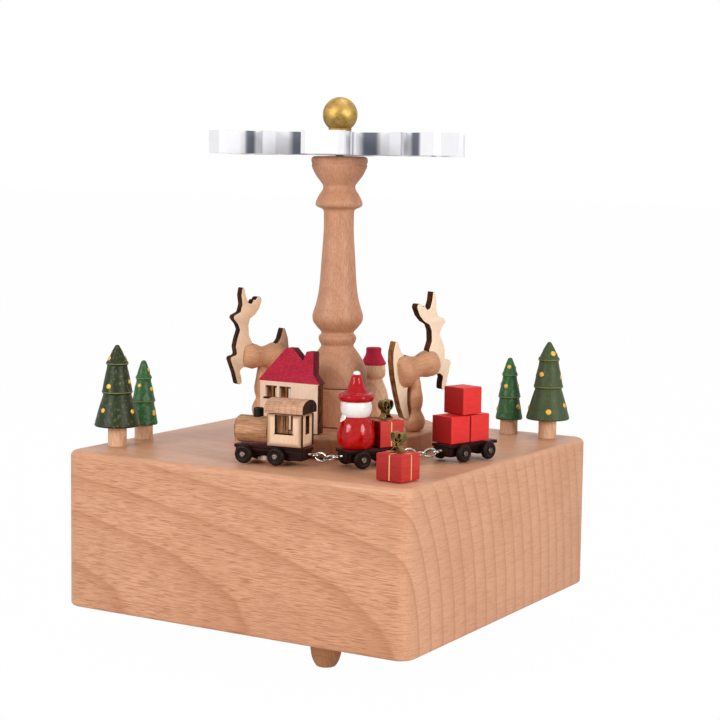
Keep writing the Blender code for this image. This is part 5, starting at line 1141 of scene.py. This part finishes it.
# Floor, backdrop, lamps and camera
def seen_white(tree, plain, white, output, share, *kinds):
    """Rays of the kinds named see white at that share, and all other light meets the plain surface."""
    rays = tree.nodes.new("ShaderNodeLightPath").outputs
    seen = rays[kinds[0]]
    for kind in kinds[1:]:
        both = tree.nodes.new("ShaderNodeMath")
        both.operation = "ADD"
        both.use_clamp = True
        tree.links.new(seen, both.inputs[0])
        tree.links.new(rays[kind], both.inputs[1])
        seen = both.outputs[0]
    if share < 1.0:
        part = tree.nodes.new("ShaderNodeMath")
        part.operation = "MULTIPLY"
        part.inputs[1].default_value = share
        tree.links.new(seen, part.inputs[0])
        seen = part.outputs[0]
    mixed = tree.nodes.new("ShaderNodeMixShader")
    for source, target in zip((seen, plain.outputs[0], white.outputs[0]), mixed.inputs):
        tree.links.new(source, target)
    tree.links.new(mixed.outputs[0], output.inputs["Surface"])


floor_mesh = bpy.data.meshes.new("floor")
floor_mesh.from_pydata([(-8, -8, 0), (8, -8, 0), (8, 8, 0), (-8, 8, 0)], [], [(0, 1, 2, 3)])
floor = new_object("floor", floor_mesh)
pale = bpy.data.materials.new("pale_floor")
pale.use_nodes = True
nodes = pale.node_tree.nodes
shader = nodes["Principled BSDF"]
shader.inputs["Base Color"].default_value = (0.9, 0.9, 0.9, 1.0)
shader.inputs["Roughness"].default_value = 0.9
shader.inputs["Specular IOR Level"].default_value = 0.1
glow = nodes.new("ShaderNodeEmission")
glow.inputs["Strength"].default_value = 1.0
seen_white(pale.node_tree, shader, glow, nodes["Material Output"], 0.99, "Is Camera Ray")
floor_mesh.materials.append(pale)

world = bpy.data.worlds.new("studio")
bpy.context.scene.world = world
world.use_nodes = True
nodes = world.node_tree.nodes
plain = nodes["Background"]
white = nodes.new("ShaderNodeBackground")
for sky, strength in ((plain, 0.33), (white, 1.0)):
    sky.inputs["Color"].default_value = (1.0, 1.0, 1.0, 1.0)
    sky.inputs["Strength"].default_value = strength
seen_white(world.node_tree, plain, white, nodes["World Output"], 1.0, "Is Camera Ray", "Is Glossy Ray",
           "Is Transmission Ray")


def lamp(name, place, aim, power, size):
    """A round lamp that shines at a point."""
    data = bpy.data.lights.new(name, "AREA")
    data.energy = power
    data.shape = "DISK"
    data.size = size
    light = new_object(name, data)
    light.location = place
    light.rotation_euler = (Vector(aim) - Vector(place)).to_track_quat("-Z", "Y").to_euler()


lamp("key", (-0.30, -0.90, 0.42), (0, 0, 0.06), 4.9, 0.4)
lamp("fill", (0.95, -0.25, 0.38), (0, 0, 0.06), 5.2, 0.4)
lamp("top", (0.05, 0.20, 0.95), (0, 0, 0.08), 1.6, 0.5)

VIEW_LEAN = 6.045
VIEW_ROLL = 0.78
yaw, lean, roll = (math.radians(angle) for angle in (VIEW_YAW, VIEW_LEAN, VIEW_ROLL))
ahead = Vector((math.cos(lean) * math.sin(yaw), math.cos(lean) * math.cos(yaw), -math.sin(lean)))
right = ahead.cross(Vector((0, 0, 1))).normalized()
up = right.cross(ahead)
right, up = math.cos(roll) * right + math.sin(roll) * up, math.cos(roll) * up - math.sin(roll) * right
camera_data = bpy.data.cameras.new("camera")
camera = new_object("camera", camera_data)
place = Matrix((right, up, -ahead)).transposed().to_4x4()
place.translation = (0.29052, -0.47774, 0.14672)
camera.matrix_world = place
camera_data.lens = 89.607
camera_data.sensor_width = 36.0
camera_data.clip_start = 0.01
bpy.context.scene.camera = camera
bpy.context.scene.view_settings.view_transform = "Standard"

bpy.context.view_layer.update()
